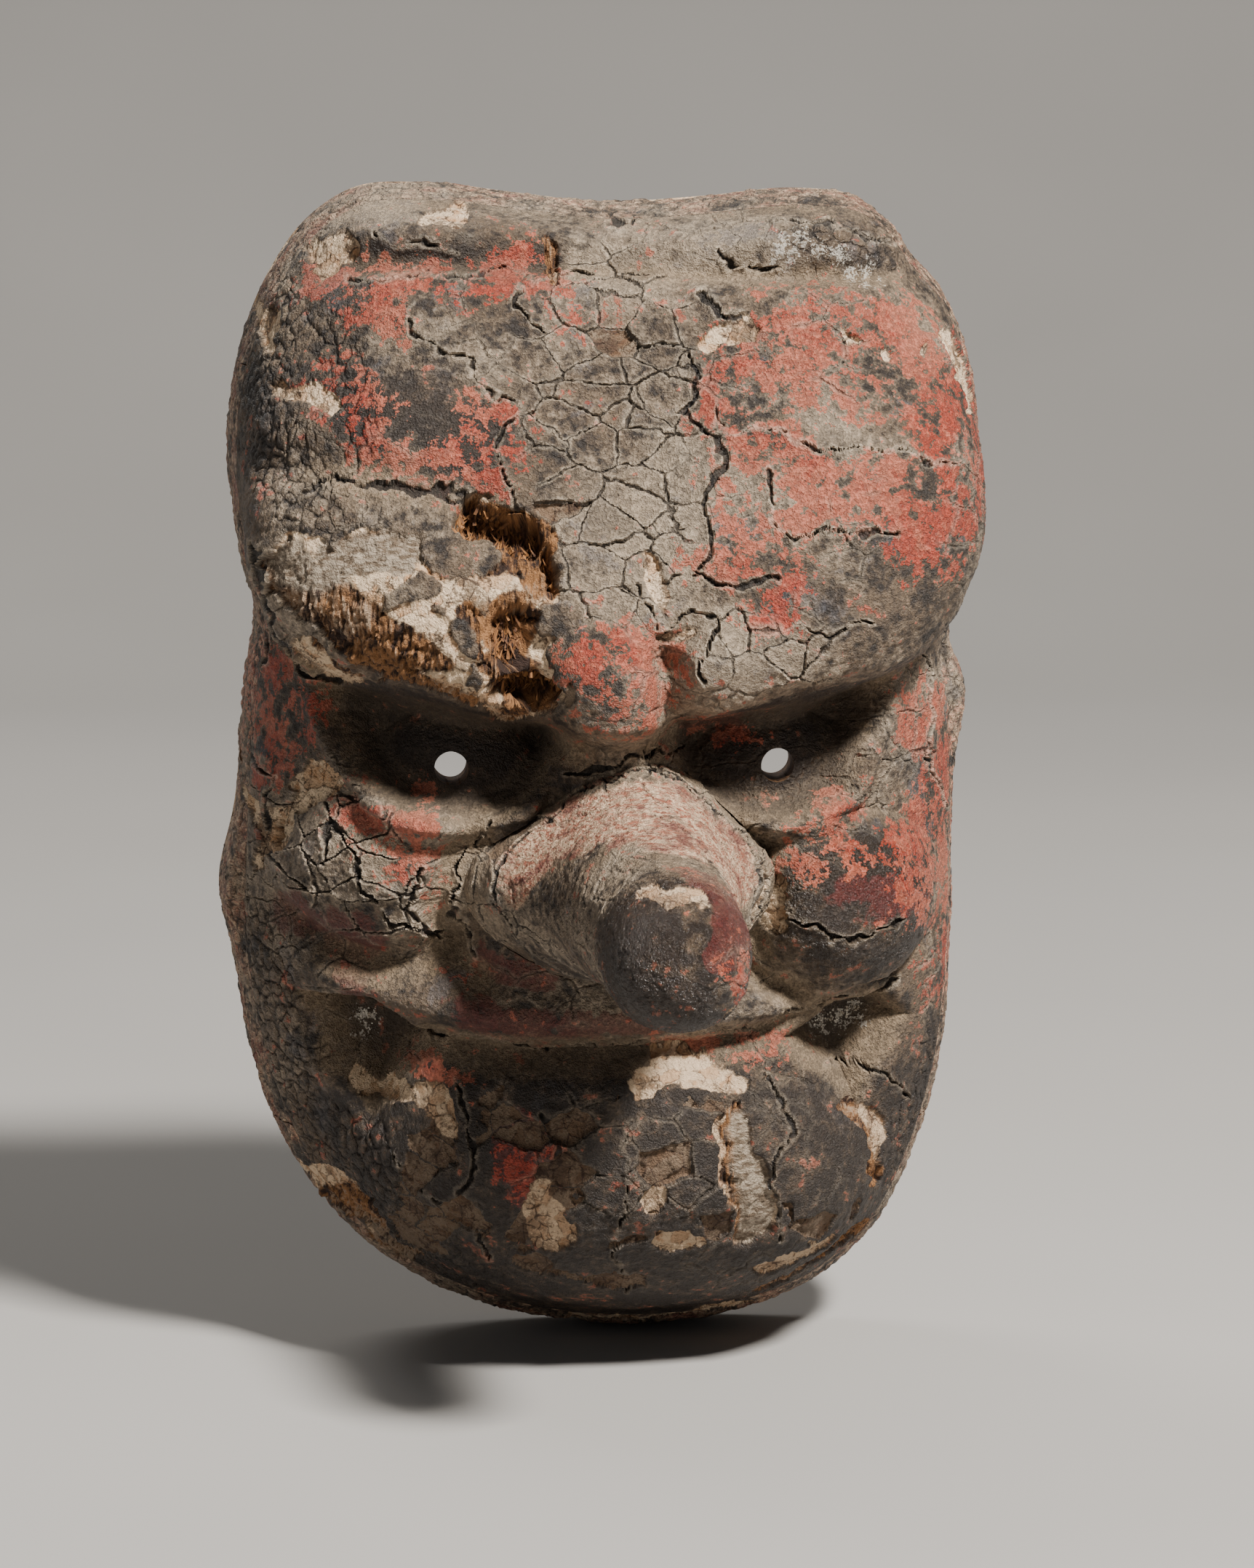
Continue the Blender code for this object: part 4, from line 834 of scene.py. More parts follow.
# %% Meshes from arrays, and plain results from modifiers
def new_object(name, points, faces, fields=None):
    """An object from points and arrays of corners, one array for faces of each number of corners."""
    mesh = bpy.data.meshes.new(name)
    corners = np.concatenate([f.ravel() for f in faces]).astype(np.int32)
    sizes = np.concatenate([np.full(len(f), f.shape[1]) for f in faces])
    mesh.vertices.add(len(points))
    mesh.vertices.foreach_set("co", np.ascontiguousarray(points, np.float32).ravel())
    mesh.loops.add(len(corners))
    mesh.loops.foreach_set("vertex_index", corners)
    mesh.polygons.add(len(sizes))
    starts = np.concatenate([[0], np.cumsum(sizes)[:-1]])
    mesh.polygons.foreach_set("loop_start", starts.astype(np.int32))
    mesh.update(calc_edges=True)
    for field, values in (fields or {}).items():
        layer = mesh.attributes.new(field, "FLOAT", "POINT")
        layer.data.foreach_set("value", np.ascontiguousarray(values, np.float32).ravel())
    obj = bpy.data.objects.new(name, mesh)
    bpy.context.scene.collection.objects.link(obj)
    return obj


def settle(obj):
    """Turns an object with its modifiers, place and turn into one plain mesh at the origin."""
    bpy.context.view_layer.update()
    depsgraph = bpy.context.evaluated_depsgraph_get()
    mesh = bpy.data.meshes.new_from_object(
        obj.evaluated_get(depsgraph), preserve_all_data_layers=True, depsgraph=depsgraph
    )
    mesh.transform(obj.matrix_world)
    obj.modifiers.clear()
    obj.parent, obj.matrix_world, obj.data = None, Matrix.Identity(4), mesh
    return obj


def cut(obj, others, operation="DIFFERENCE"):
    """Cuts other shapes out of a block, or keeps what is inside them."""
    for other in others:
        modifier = obj.modifiers.new(operation, "BOOLEAN")
        modifier.operation, modifier.object, modifier.solver = operation, other, "MANIFOLD"
    return settle(obj)


def drop(objects):
    for obj in objects:
        bpy.data.objects.remove(obj)


def grid_faces(across, up, wrap=False):
    """Corners of a grid's squares, with its points in rows along the second direction."""
    i, j = np.meshgrid(np.arange(across if wrap else across - 1), np.arange(up - 1), indexing="ij")
    k = (i + 1) % across
    return np.stack([i * up + j, k * up + j, k * up + j + 1, i * up + j + 1], -1).reshape(-1, 4)


def edge_loop(across, up):
    """The points round a grid's edge, in the order that its faces go round."""
    i, j = np.arange(across), np.arange(up)
    return np.concatenate([i[:-1] * up, (across - 1) * up + j[:-1], i[:0:-1] * up + up - 1, j[:0:-1]])


def blur(values, reach, rounds=2):
    """Spreads a grid's values over their neighbours, by running means along both directions."""
    for _ in range(rounds):
        for axis in (0, 1):
            more = [(reach, reach) if a == axis else (0, 0) for a in (0, 1)]
            padded = np.pad(values, more, mode="edge")
            total = np.cumsum(np.insert(padded, 0, 0, axis=axis), axis=axis)
            wide = 2 * reach + 1
            upper, lower = np.arange(wide, total.shape[axis]), np.arange(total.shape[axis] - wide)
            values = (np.take(total, upper, axis) - np.take(total, lower, axis)) / wide
    return values


def closed_sheet(name, sheet, behind, fields=None):
    """An object from a grid of points, closed by a fan to one point behind it."""
    across, up = sheet.shape[:2]
    loop = edge_loop(across, up)
    fan = np.stack([np.roll(loop, -1), loop, np.full(len(loop), across * up)], -1)
    points = np.concatenate([sheet.reshape(-1, 3), [behind]])
    ready = {field: np.append(values.ravel(), 0) for field, values in (fields or {}).items()}
    return new_object(name, points, [grid_faces(across, up), fan], ready)


def triangles(obj):
    return sum(len(p.vertices) - 2 for p in obj.data.polygons)


print("a 3 by 3 grid's edge:", edge_loop(3, 3))

# %% The fine grid of the carved front
QUICK_GRID, FULL_GRID = (221, 331), (441, 661)  # points across and up the front
FINE_ACROSS, FINE_UP = FULL_GRID
BLUR_REACH = int(14 * FINE_ACROSS / FULL_GRID[0])  # points, for telling hollow from proud
BAND = [(-72, 99), (-62, 102.5), (-45, 103.5), (-25, 103.5), (-8, 103), (12, 102), (35, 101.5), (52, 101),
        (62, 100), (72, 97)]
BAND_PROUD, GROOVE_DEPTH, PIT_DEEPENED = 3.0, 1.8, 2.5  # millimetres
DUSTY_FOLDS = [
    LEFT_EYE[3:] + LEFT_EYE[:1], RIGHT_EYE[4:] + RIGHT_EYE[:1], UPPER_LIP, MOUTH_LINE,
    [(22, -6), (28, -13), (30, -23), (27, -33)], [(-24, -4), (-31, -13), (-35, -22), (-34, -30)],
]


def crown_band(x, z):
    """The band along the top stands proud of the forehead, with a groove under it."""
    above = z - through(BAND, np.clip(x, -72, 72))
    groove = GROOVE_DEPTH * np.exp(-(((above + 1.6) / 1.7) ** 2))
    return (BAND_PROUD * smooth(-0.8, 1.8, above) - groove) * smooth(84, 92, z)


def carved_front():
    u, v = np.meshgrid(np.linspace(-1, 1, FINE_ACROSS), np.linspace(-1, 1, FINE_UP), indexing="ij")
    out, angle = square_to_polar(u, v)
    point, way = dome(out, angle, 0, FACE_DEPTH, SEAM_DEPTH + GAP / 2)
    x, z = point[..., 0] / MM, point[..., 2] / MM
    height = features(x, z) + crown_band(x, z)
    facing = smooth(SEAM_DEPTH / FACE_DEPTH, 0.84, -point[..., 1] / FACE_DEPTH)
    for path in (LEFT_PIT, RIGHT_PIT):
        height = height - PIT_DEEPENED * smooth(0.3, 1, -pit(x, z, path, 2.6, 1))
    point = point + way * (height * facing * MM)[..., None]
    fields = marks_at(point[..., 0] / MM, point[..., 2] / MM)
    relief = height * facing
    fields["hollow"] = np.clip((blur(relief, BLUR_REACH) - relief) / 3.5, -1, 1.2)
    fields["loose"] = smooth(0, 1.6, -point[..., 1] / MM - SEAM_DEPTH / MM)
    fields["coat"], fields["cloth"] = np.ones_like(x), np.full_like(x, -9.0)
    # Painted shade inside the eye sockets, partly standing for the black paint of the eyes.
    sockets = smooth(0.2, 1, -pit(x, z, LEFT_EYE, 3.0, 1) - pit(x, z, RIGHT_EYE, 3.0, 1)) * 0.8
    # Painted shade inside the mouth-corner pits.
    corners = smooth(0.6, 1, -pit(x, z, LEFT_PIT, 2.5, 1) - pit(x, z, RIGHT_PIT, 2.5, 1))
    # Painted shade over the lower face, darker towards the chin.
    below = smooth(-40, -70, z) * 0.6 * smooth(-64, -44, x)
    cheeks = smooth(20, 10, np.hypot(x - 46, z + 24)) * 0.6
    # Painted shadow in the groove under the crown band at the left; the other two strokes darken patches on the
    # forehead.
    groove_shadow_and_patches = stroke(x, z, [(-58, 100), (-40, 102), (-12, 101)], 3.0, 0.8)
    groove_shadow_and_patches = np.maximum(groove_shadow_and_patches, stroke(x, z, [(-46, 72), (-36, 76), (-28, 66)], 7.0, 0.75))
    groove_shadow_and_patches = np.maximum(groove_shadow_and_patches, stroke(x, z, [(-70, 62), (-64, 80)], 6.0, 0.4))
    fields["dark"] = np.clip(np.maximum(sockets + corners + groove_shadow_and_patches, np.maximum(below, cheeks)), 0, 1)
    for paint in ("red", "maroon", "lost", "bare"):
        fields[paint] = fields[paint] - corners * 20
    fields["gloss"] = smooth(20, 10, np.hypot(x - 46, z + 24)) * 0.8 + sockets * 0.2
    # Dust gathers on the rims of the sockets and the pits, and along the folds; the painted shade is kept off
    # the pits' rims.
    for path in (LEFT_PIT + LEFT_PIT[:1], RIGHT_PIT + RIGHT_PIT[:1]):
        rim = stroke(x, z, path, 2.4, 1.0)
        fields["hollow"], fields["dark"] = fields["hollow"] + rim * 1.2, fields["dark"] * (1 - rim)
    for path in DUSTY_FOLDS:
        fields["hollow"] = fields["hollow"] + stroke(x, z, path, 3.4, 0.75)
    return closed_sheet("face", point, (0, -(SEAM_DEPTH + GAP / 2), 0), fields)


face = carved_front()
print("carved front:", len(face.data.polygons), "faces,", len(face.data.attributes), "layers")

# %% Crack its coat
WEATHER, WEATHER_SIZES = weathering_tree(LACQUER)


def weather(obj, **sizes):
    """Runs the weathering tree over a piece, with its own sizes where they are given."""
    modifier = obj.modifiers.new("weather", "NODES")
    modifier.node_group = WEATHER
    for name, size in sizes.items():
        modifier[WEATHER_SIZES[name.replace("_", " ")]] = size
    return settle(obj)


weather(face)
print("weathered front:", [round(c / MM, 1) for c in face.dimensions], "mm")

# %% [markdown]
# ## Cutting the block
#
# The hollow, the holes and the nose's seat are cut with Booleans after the surface is
# cracked, so their edges stay crisp. The Manifold solver is quick and exact on closed
# meshes, and it keeps what is stored on the points. The hollow itself is marked all over
# with shallow scallops, as a gouge leaves it.

# %% Shapes that cut
def hollow_cutter():
    across, up = 161, 241
    u, v = np.meshgrid(np.linspace(-1, 1, across), np.linspace(-1, 1, up), indexing="ij")
    out, angle = square_to_polar(u, v)
    point, way = dome(np.minimum(out / 0.96, 1), angle, SIDE_WALL, FACE_DEPTH - FRONT_WALL)
    x, y, z = (point[..., k] / MM for k in range(3))
    row = z / 9 + 0.35 * np.sin(x / 14) + 0.2 * np.sin(y / 6)
    along = (x - y * 0.8) / 15 + 0.5 * np.round(row) + 0.3 * np.sin(3.7 * np.round(row))
    scallop = np.abs(np.sin(math.pi * row)) ** 0.8 * (0.6 + 0.4 * np.abs(np.sin(math.pi * along)))
    point = point + way * ((scallop - 0.75) * 0.9 * MM * (out < 0.93))[..., None]
    point[..., 1] = np.where(out >= 1, 4 * MM, point[..., 1])
    return closed_sheet("hollow", point, (0, 4 * MM, 0))


def box(name, low, high):
    corners = np.array([[x, y, z] for x in (0, 1) for y in (0, 1) for z in (0, 1)])
    sides = np.array([[0, 1, 3, 2], [4, 6, 7, 5], [0, 4, 5, 1], [2, 3, 7, 6], [0, 2, 6, 4], [1, 5, 7, 3]])
    low, high = np.array(low), np.array(high)
    return new_object(name, low + corners * (high - low), [sides])


def cylinder(name, start, end, diameter, sides):
    axis = Vector(end) - Vector(start)
    turn = axis.to_track_quat("Z", "X").to_matrix()
    around = (np.arange(sides) + 0.5) / sides * 2 * math.pi
    ring = np.stack([np.cos(around), np.sin(around), np.zeros(sides)], -1) * diameter / 2 @ np.array(turn).T
    points = np.concatenate([ring + np.array(start), ring + np.array(end)])
    i = np.arange(sides)
    j = (i + 1) % sides
    walls = np.stack([i, j, j + sides, i + sides], -1)
    return new_object(name, points, [walls, i[None, ::-1], (i + sides)[None]])


hollow = hollow_cutter()
print("hollow:", [round(c / MM, 1) for c in hollow.dimensions], "mm")


# %% The wall of the rim at each direction and depth
def wall(angle, depths):
    """The outer and inner points of the side wall in one direction, at depths from the rim's back."""
    out = np.linspace(0.3, 1, 500)
    turned = np.full_like(out, angle)
    outer, way = dome(out, turned, 0, FACE_DEPTH)
    outer = outer + way * ear(outer)[..., None]
    inner, _ = dome(out, turned, SIDE_WALL, FACE_DEPTH - FRONT_WALL)
    depths = np.atleast_1d(depths)
    found = []
    for side in (outer, inner):
        x, y, z = side[::-1].T
        found.append(np.stack([np.interp(depths, -y, x), -depths, np.interp(depths, -y, z)], -1))
    return found


def wall_middle(angle, depth):
    outer, inner = wall(angle, depth)
    return Vector((outer[0] + inner[0]) / 2)


DOWEL_PLACES = {
    "crown": (62, 90, 118), "right": (-24, 8, 36), "left": (144, 172, 204), "chin": (-62, -88, -116),
}
dowel_holes = {}
for strip, places in DOWEL_PLACES.items():
    for number, degrees in enumerate(places, 1):
        ends = [
            wall_middle(math.radians(degrees), SEAM_DEPTH + side * DOWEL_LENGTH / 2) for side in (-1, 1)
        ]
        along = (ends[1] - ends[0]).normalized() * GAP
        dowel_holes[strip, number] = cylinder("dowel_hole", ends[0] - along, ends[1] + along,
                                              DOWEL_DIAMETER + 2 * GAP, 10)
print(len(dowel_holes), "dowel holes")

# %% [markdown]
# ## The nose
#
# The nose is lofted: rings of points along its length, each an arch at the root that turns
# into a circle. A skin modifier or a curve with a bevel could do it, but neither can change
# from an arch to a circle on the way.

# %% Sections of the nose
# How far along, the centre's x and z, half the width, half the height, and how far the
# section is the arch of the root (1) or round (0).
NOSE_SECTIONS = [
    (0.000, 0.6, -15.5, 30.5, 22.0, 1.0), (0.075, 0.6, -15.5, 30.5, 22.0, 1.0),
    (0.130, 0.9, -15.8, 28.0, 20.6, 0.9), (0.200, 1.6, -16.4, 24.4, 19.0, 0.7),
    (0.290, 2.6, -17.2, 21.0, 17.6, 0.45), (0.390, 3.6, -18.0, 18.3, 16.3, 0.2),
    (0.500, 4.6, -18.9, 16.4, 15.2, 0.05), (0.610, 5.4, -19.7, 15.0, 14.4, 0.0),
    (0.710, 6.1, -20.4, 14.2, 14.0, 0.0), (0.790, 6.6, -21.0, 14.0, 14.0, 0.0),
    (0.860, 7.0, -21.5, 13.4, 13.4, 0.0), (0.920, 7.3, -22.0, 11.6, 11.6, 0.0),
    (0.965, 7.5, -22.3, 8.2, 8.2, 0.0), (0.990, 7.6, -22.5, 4.5, 4.5, 0.0),
]


def nose_rings(stations, sides, grow=0.0):
    """Points of the nose, one row for each station along it."""
    known = np.array(NOSE_SECTIONS).T
    x, z, wide, high, arch = (
        through(np.stack([known[0], row], 1), stations)[:, None] for row in known[1:]
    )
    around = np.linspace(0, 2 * math.pi, sides, endpoint=False)[None] + math.pi / 2
    c, s = np.cos(around), np.sin(around)
    rise = arch * smooth(-0.2, 1.0, s)
    xs = (x + wide * c * (1 - 0.52 * rise) + NOSE_LEAN * rise) * MM + grow * c
    zs = (z + high * s * (1 + 0.04 * arch * np.abs(c))) * MM + grow * s
    ys = np.broadcast_to((-NOSE_SEAT_DEPTH - stations * NOSE_LENGTH)[:, None], xs.shape)
    return np.stack([xs, ys, zs], -1)


def lofted(name, rows, start, end, fields=None):
    """Closes rings of points into a solid, with a fan to a point at each end."""
    count, sides = rows.shape[:2]
    points = np.concatenate([rows.transpose(1, 0, 2).reshape(-1, 3), [start, end]])
    faces = grid_faces(sides, count, wrap=True)
    i = np.arange(sides)
    j = (i + 1) % sides
    first, last = count * sides, count * sides + 1
    bottom = np.stack([j * count, i * count, np.full(sides, first)], -1)
    top = np.stack([i * count + count - 1, j * count + count - 1, np.full(sides, last)], -1)
    ready = {k: np.append(v.T.ravel(), [v[0].mean(), v[-1].mean()]) for k, v in (fields or {}).items()}
    return new_object(name, points, [faces, bottom, top], ready)


def tenon_box(name, grow, front):
    x, z = NOSE_SECTIONS[0][1] * MM, NOSE_SECTIONS[0][2] * MM
    inside_face = FACE_DEPTH - FRONT_WALL
    half_wide, half_high = TENON_WIDTH / 2 + grow, TENON_HEIGHT / 2 + grow
    back = -inside_face + (20 * MM if grow else -0.6 * MM)
    return box(name, (x - half_wide, -front, z - half_high), (x + half_wide, back, z + half_high))


seat_stations = np.array([s[0] for s in NOSE_SECTIONS if s[0] < 0.35])
seat_rows = nose_rings(seat_stations, 40, GAP)
seat_rows[0, :, 1] += GAP
seat_end = seat_rows[-1].mean(axis=0) + np.array([0, -1 * MM, 0])
nose_seat = lofted("nose_seat", seat_rows, seat_rows[0].mean(axis=0), seat_end)
mortise = tenon_box("mortise", GAP, NOSE_SEAT_DEPTH + 2 * MM)
eye_holes = [
    cylinder("eye_hole", (x, -FACE_DEPTH - 30 * MM, EYE_HOLE_HEIGHT), (x, 0, EYE_HOLE_HEIGHT),
             EYE_HOLE_DIAMETER, 40)
    for x in (-EYE_HOLE_SPACING / 2, EYE_HOLE_SPACING / 2)
]
print("nose seat:", [round(c / MM, 1) for c in nose_seat.dimensions], "mm")

# %% Cut the face, then part it into four blocks light enough to hand on
def heal(mesh):
    """Gives the points on a cut edge the marks of the coat beside them."""
    count = len(mesh.vertices)
    coated = np.zeros(count, np.float32)
    mesh.attributes["coat"].data.foreach_get("value", coated)
    ends = np.zeros(len(mesh.edges) * 2, np.int32)
    mesh.edges.foreach_get("vertices", ends)
    ends = ends.reshape(-1, 2)
    source, target = np.concatenate([ends, ends[:, ::-1]]).T
    meets = (coated[source] > 0.999) & (coated[target] < 0.999)
    source, target = source[meets], target[meets]
    times = np.bincount(target, minlength=count)
    touched = times > 0
    for layer in mesh.attributes:
        if layer.domain == "POINT" and layer.data_type == "FLOAT":
            values = np.zeros(count, np.float32)
            layer.data.foreach_get("value", values)
            sums = np.bincount(target, values[source], minlength=count)
            values[touched] = (sums / np.maximum(times, 1))[touched]
            layer.data.foreach_set("value", values)
    places, rest = np.zeros(count * 3, np.float32), np.zeros(count * 3, np.float32)
    mesh.vertices.foreach_get("co", places)
    mesh.attributes["rest"].data.foreach_get("vector", rest)
    rest = np.where(np.repeat(touched, 3), places / MM, rest)
    mesh.attributes["rest"].data.foreach_set("vector", rest)
    return int(touched.sum())


COATED, SHARP = 0.5, math.radians(62)  # the least share of coat, and the bend that stays crisp


def dress(obj):
    """Lacquer where the coat is, bare wood on every cut face, and smooth shading up to the edges."""
    mesh = obj.data
    for _ in range(2):
        heal(mesh)
    layer = np.zeros(len(mesh.vertices), np.float32)
    mesh.attributes["coat"].data.foreach_get("value", layer)
    corners = np.zeros(len(mesh.loops), np.int32)
    mesh.loops.foreach_get("vertex_index", corners)
    starts = np.zeros(len(mesh.polygons), np.int32)
    mesh.polygons.foreach_get("loop_start", starts)
    least = np.minimum.reduceat(layer[corners], starts)
    mesh.materials.clear()
    mesh.materials.append(LACQUER)
    mesh.materials.append(INSIDE_WOOD)
    mesh.polygons.foreach_set("material_index", (least < COATED).astype(np.int32))
    mesh.shade_smooth()
    mesh.set_sharp_from_angle(angle=SHARP)
    return obj


def part_off(name, source, low, high):
    """What lies between two corners of a piece, as a dressed piece of its own."""
    piece = bpy.data.objects.new(name, source.data.copy())
    bpy.context.scene.collection.objects.link(piece)
    keep = box("keep", low, high)
    cut(piece, [keep], "INTERSECT")
    drop([keep])
    print(name, triangles(piece), "triangles")
    return dress(piece)


cut(face, [hollow])
cut(face, [nose_seat])
cut(face, [mortise])
for hole in eye_holes + list(dowel_holes.values()):
    cut(face, [hole])
reach = MASK_HEIGHT  # further than any part of the mask
BROW_TOP, CHEEK_TOP, CHIN_TOP = 61 * MM, 9 * MM, -41 * MM
FACE_CUTS = {"face_crown": (BROW_TOP, reach), "face_brow": (CHEEK_TOP, BROW_TOP),
             "face_cheeks": (CHIN_TOP, CHEEK_TOP), "face_chin": (-reach, CHIN_TOP)}
blocks = [
    part_off(name, face, (-reach, -reach, low), (reach, reach, high))
    for name, (low, high) in FACE_CUTS.items()
]
drop([face])

# %% [markdown]
# ## The strips behind the seam
#
# Four strips make the mask deep. They are one ring, swept round the outline as a closed
# section, cracked like the face, and then parted where the crown, sides and chin meet.

# %% The ring of the rim
def rim_ring():
    around, rows = ((880, 49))
    depths = np.linspace(SEAM_DEPTH - GAP / 2, 0, rows)
    inner_depths = np.linspace(0, SEAM_DEPTH - GAP / 2, 13)
    sections = []
    for step in range(around):
        angle = (step + 0.5) / around * 2 * math.pi - math.pi
        outer, inner = wall(angle, depths)[0], wall(angle, inner_depths)[1]
        at_back, at_seam = (outer[-1] + inner[0]) / 2, (inner[-1] + outer[0]) / 2
        sections.append(np.concatenate([outer, [at_back], inner, [at_seam]]))
    points = np.array(sections)
    total = points.shape[1]
    x, y, z = (points[..., k] / MM for k in range(3))
    outside = np.broadcast_to(np.arange(total) < rows, x.shape)
    edge = np.minimum(-y, SEAM_DEPTH / MM - GAP / MM / 2 + y)
    fields = marks_at(x, z)
    ragged_back = 2.2 + 1.6 * np.sin(z / 7 + x / 5) + 1.2 * np.sin(z / 2.3 - x / 3)
    fields["lost"] = np.maximum(fields["lost"], ragged_back * 0.5 - (-y) * 0.8)
    fields["rot"] = np.full_like(x, -9.0)
    fields["crack"] = np.maximum(fields["crack"], 1.0)
    fields["scales"] = np.maximum(fields["scales"], 1.5 * np.sin(z / 19 + 1) + 0.5)
    fields["loose"] = smooth(0, 1.4, edge) * outside
    fields["coat"] = outside.astype(float)
    for name in ("hollow", "dark", "gloss", "cloth"):
        fields[name] = np.zeros_like(x)
    i, j = np.meshgrid(np.arange(around), np.arange(total), indexing="ij")
    k, m = (i + 1) % around, (j + 1) % total
    faces = np.stack([i * total + j, i * total + m, k * total + m, k * total + j], -1).reshape(-1, 4)
    return new_object("rim", points.reshape(-1, 3), [faces], {n: v.ravel() for n, v in fields.items()})


rim = weather(rim_ring(), Coat_thickness=0.8)
print("rim ring:", len(rim.data.polygons), "faces")


# %% Staples and the pockets that they sit in
def angle_at_height(height, side):
    angles = np.linspace(-math.pi / 2, math.pi / 2, 200)
    if side < 0:
        angles = math.pi - angles
    return float(np.interp(height, [wall_middle(a, 0)[2] for a in angles], angles))


def staple_pocket(joint, tangent):
    half, section = STAPLE_SPAN / 2 + GAP, STAPLE_SECTION / 2 + GAP
    sunk = -GAP - STAPLE_SECTION - GAP
    turn = Matrix.Rotation(-math.atan2(tangent.z, tangent.x), 4, "Y")
    turn = Matrix.Translation((joint.x, 0, joint.z)) @ turn
    pieces = [box("pocket", (-half, sunk, -section), (half, 3 * MM, section))]
    for end in (-1, 1):
        middle = end * (STAPLE_SPAN / 2 - STAPLE_SECTION / 2)
        pieces.append(box("pocket_leg", (middle - section * 0.99, sunk - STAPLE_LEG, -section * 0.98),
                          (middle + section * 0.99, sunk / 2, section * 0.98)))
    for piece in pieces:
        piece.matrix_world = turn
    return pieces


staple_pockets = []
for height in (CROWN_JOINT, CHIN_JOINT):
    for side in (-1, 1):
        turned = angle_at_height(height, side)
        tangent = (wall_middle(turned + 0.05, 0) - wall_middle(turned - 0.05, 0)).normalized()
        staple_pockets += staple_pocket(wall_middle(turned, 0), tangent)
print(len(staple_pockets) // 3, "staple pockets")

# %% Cut the ring and part it into the four strips
cord_holes = [
    cylinder("cord_hole", (side * MASK_WIDTH * 0.3, -CORD_HOLE_FROM_BACK, 0),
             (side * MASK_WIDTH * 0.65, -CORD_HOLE_FROM_BACK, 0), CORD_HOLE_DIAMETER, 40)
    for side in (-1, 1)
]
for cutter in cord_holes + list(dowel_holes.values()) + staple_pockets:
    cut(rim, [cutter])
half = GAP / 2
STRIPS = {
    "crown_strip": ((-reach, -reach, CROWN_JOINT + half), (reach, reach, reach)),
    "chin_strip": ((-reach, -reach, -reach), (reach, reach, CHIN_JOINT - half)),
    "side_strip_right": ((0, -reach, CHIN_JOINT + half), (reach, reach, CROWN_JOINT - half)),
    "side_strip_left": ((-reach, -reach, CHIN_JOINT + half), (0, reach, CROWN_JOINT - half)),
}
strips = {name: part_off(name + "_coated", rim, low, high) for name, (low, high) in STRIPS.items()}
drop([rim])

# %% [markdown]
# ## Wear on the nose
#
# The nose has marks of its own, laid out on its skin as if it were unrolled: millimetres
# along it, and millimetres round it from the line along its top. Its root is cracked into
# plates, its middle has worn down to the cloth under the lacquer, and hands have polished
# its tip black. Shade is painted along its underside and on the left of its tip.

# %% The nose with its marks, its tenon and the slot for the wedge
NOWHERE = [([(200, 0)], 1)]  # a mark beyond the tip
NOSE_MARKS = {
    "red": [([(71, 36), (80, 26)], 1.6), ([(10, -6), (13, 4)], 1.6), ([(20, 44), (30, 42)], 1.4),
            ([(17, -30), (22, -24)], 1.2)],
    "maroon": [([(24, -16), (36, 0)], 4), ([(64, 10), (72, 14), (80, 16)], 9), ([(36, 22), (60, 26)], 3)],
    "lost": [([(69, -7), (75, -3), (73, 3)], 3.0), ([(69, 32), (75, 36)], 2.2), ([(22, 42), (30, 46)], 3),
             ([(12, 26), (15, 32)], 1.6)],
    "bare": [([(22, 42), (30, 46)], 2.0)], "rot": NOWHERE, "scales": NOWHERE,
    "plates": [([(6, -60), (8, 0), (6, 60)], 7.5), ([(20, -34), (34, -40)], 6)],
    "shed": [([(14, 20), (18, 50)], 2)],
    "crack": [([(12, -60), (16, -34), (11, -14), (14, 6), (11, 22), (16, 60)], 0.5),
              ([(14, -30), (24, -34), (32, -46)], 0.35), ([(11, 22), (22, 30), (34, 36), (40, 44)], 0.4)],
    "cloth": [([(19, -20), (24, 0), (22, 20)], 8), ([(26, 12), (44, 20), (58, 26)], 9),
              ([(30, -8), (42, 4)], 7)],
    "crust": NOWHERE, "grey": NOWHERE,
}


def fine_nose():
    count, sides = ((250, 280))
    turn = np.linspace(0, math.pi / 2, 40)[1:-1]
    stations = np.concatenate([np.linspace(0, 0.86, count - 38), 0.86 + 0.135 * np.sin(turn)])
    stations = np.unique(np.minimum(stations, 0.9895))
    rows = nose_rings(stations, sides)
    around = np.linspace(0, 2 * math.pi, sides, endpoint=False)
    round_it = -np.where(around > math.pi, around - 2 * math.pi, around) * 16
    along, across = np.meshgrid(stations * NOSE_LENGTH / MM, round_it, indexing="ij")
    a, b = wander(along, across)
    fields = {name: inside(a, b, marks) for name, marks in NOSE_MARKS.items()}
    fields["crack"] = -fields["crack"]
    tip = smooth(58, 74, along)
    # Painted shade along the lower sides and underside of the nose and on the left of its tip; the tip's own
    # slight darkening is polish.
    under = smooth(30, 44, np.abs(across)) * 0.5 + tip * smooth(4, -14, across) * 0.7
    fields["dark"] = np.clip(tip * 0.25 + under, 0, 1)
    fields["gloss"] = np.clip(tip, 0, 1)
    fields["hollow"] = smooth(20, 6, along) * 0.5 - 0.2 * tip
    fields["loose"] = smooth(2, 5, along)
    fields["coat"] = np.ones_like(along)
    last = NOSE_SECTIONS[-1]
    tip_point = (last[1] * MM, -NOSE_SEAT_DEPTH - NOSE_LENGTH + 0.2 * MM, last[2] * MM)
    return lofted("nose_coated", rows, rows[0].mean(axis=0), tip_point, fields)


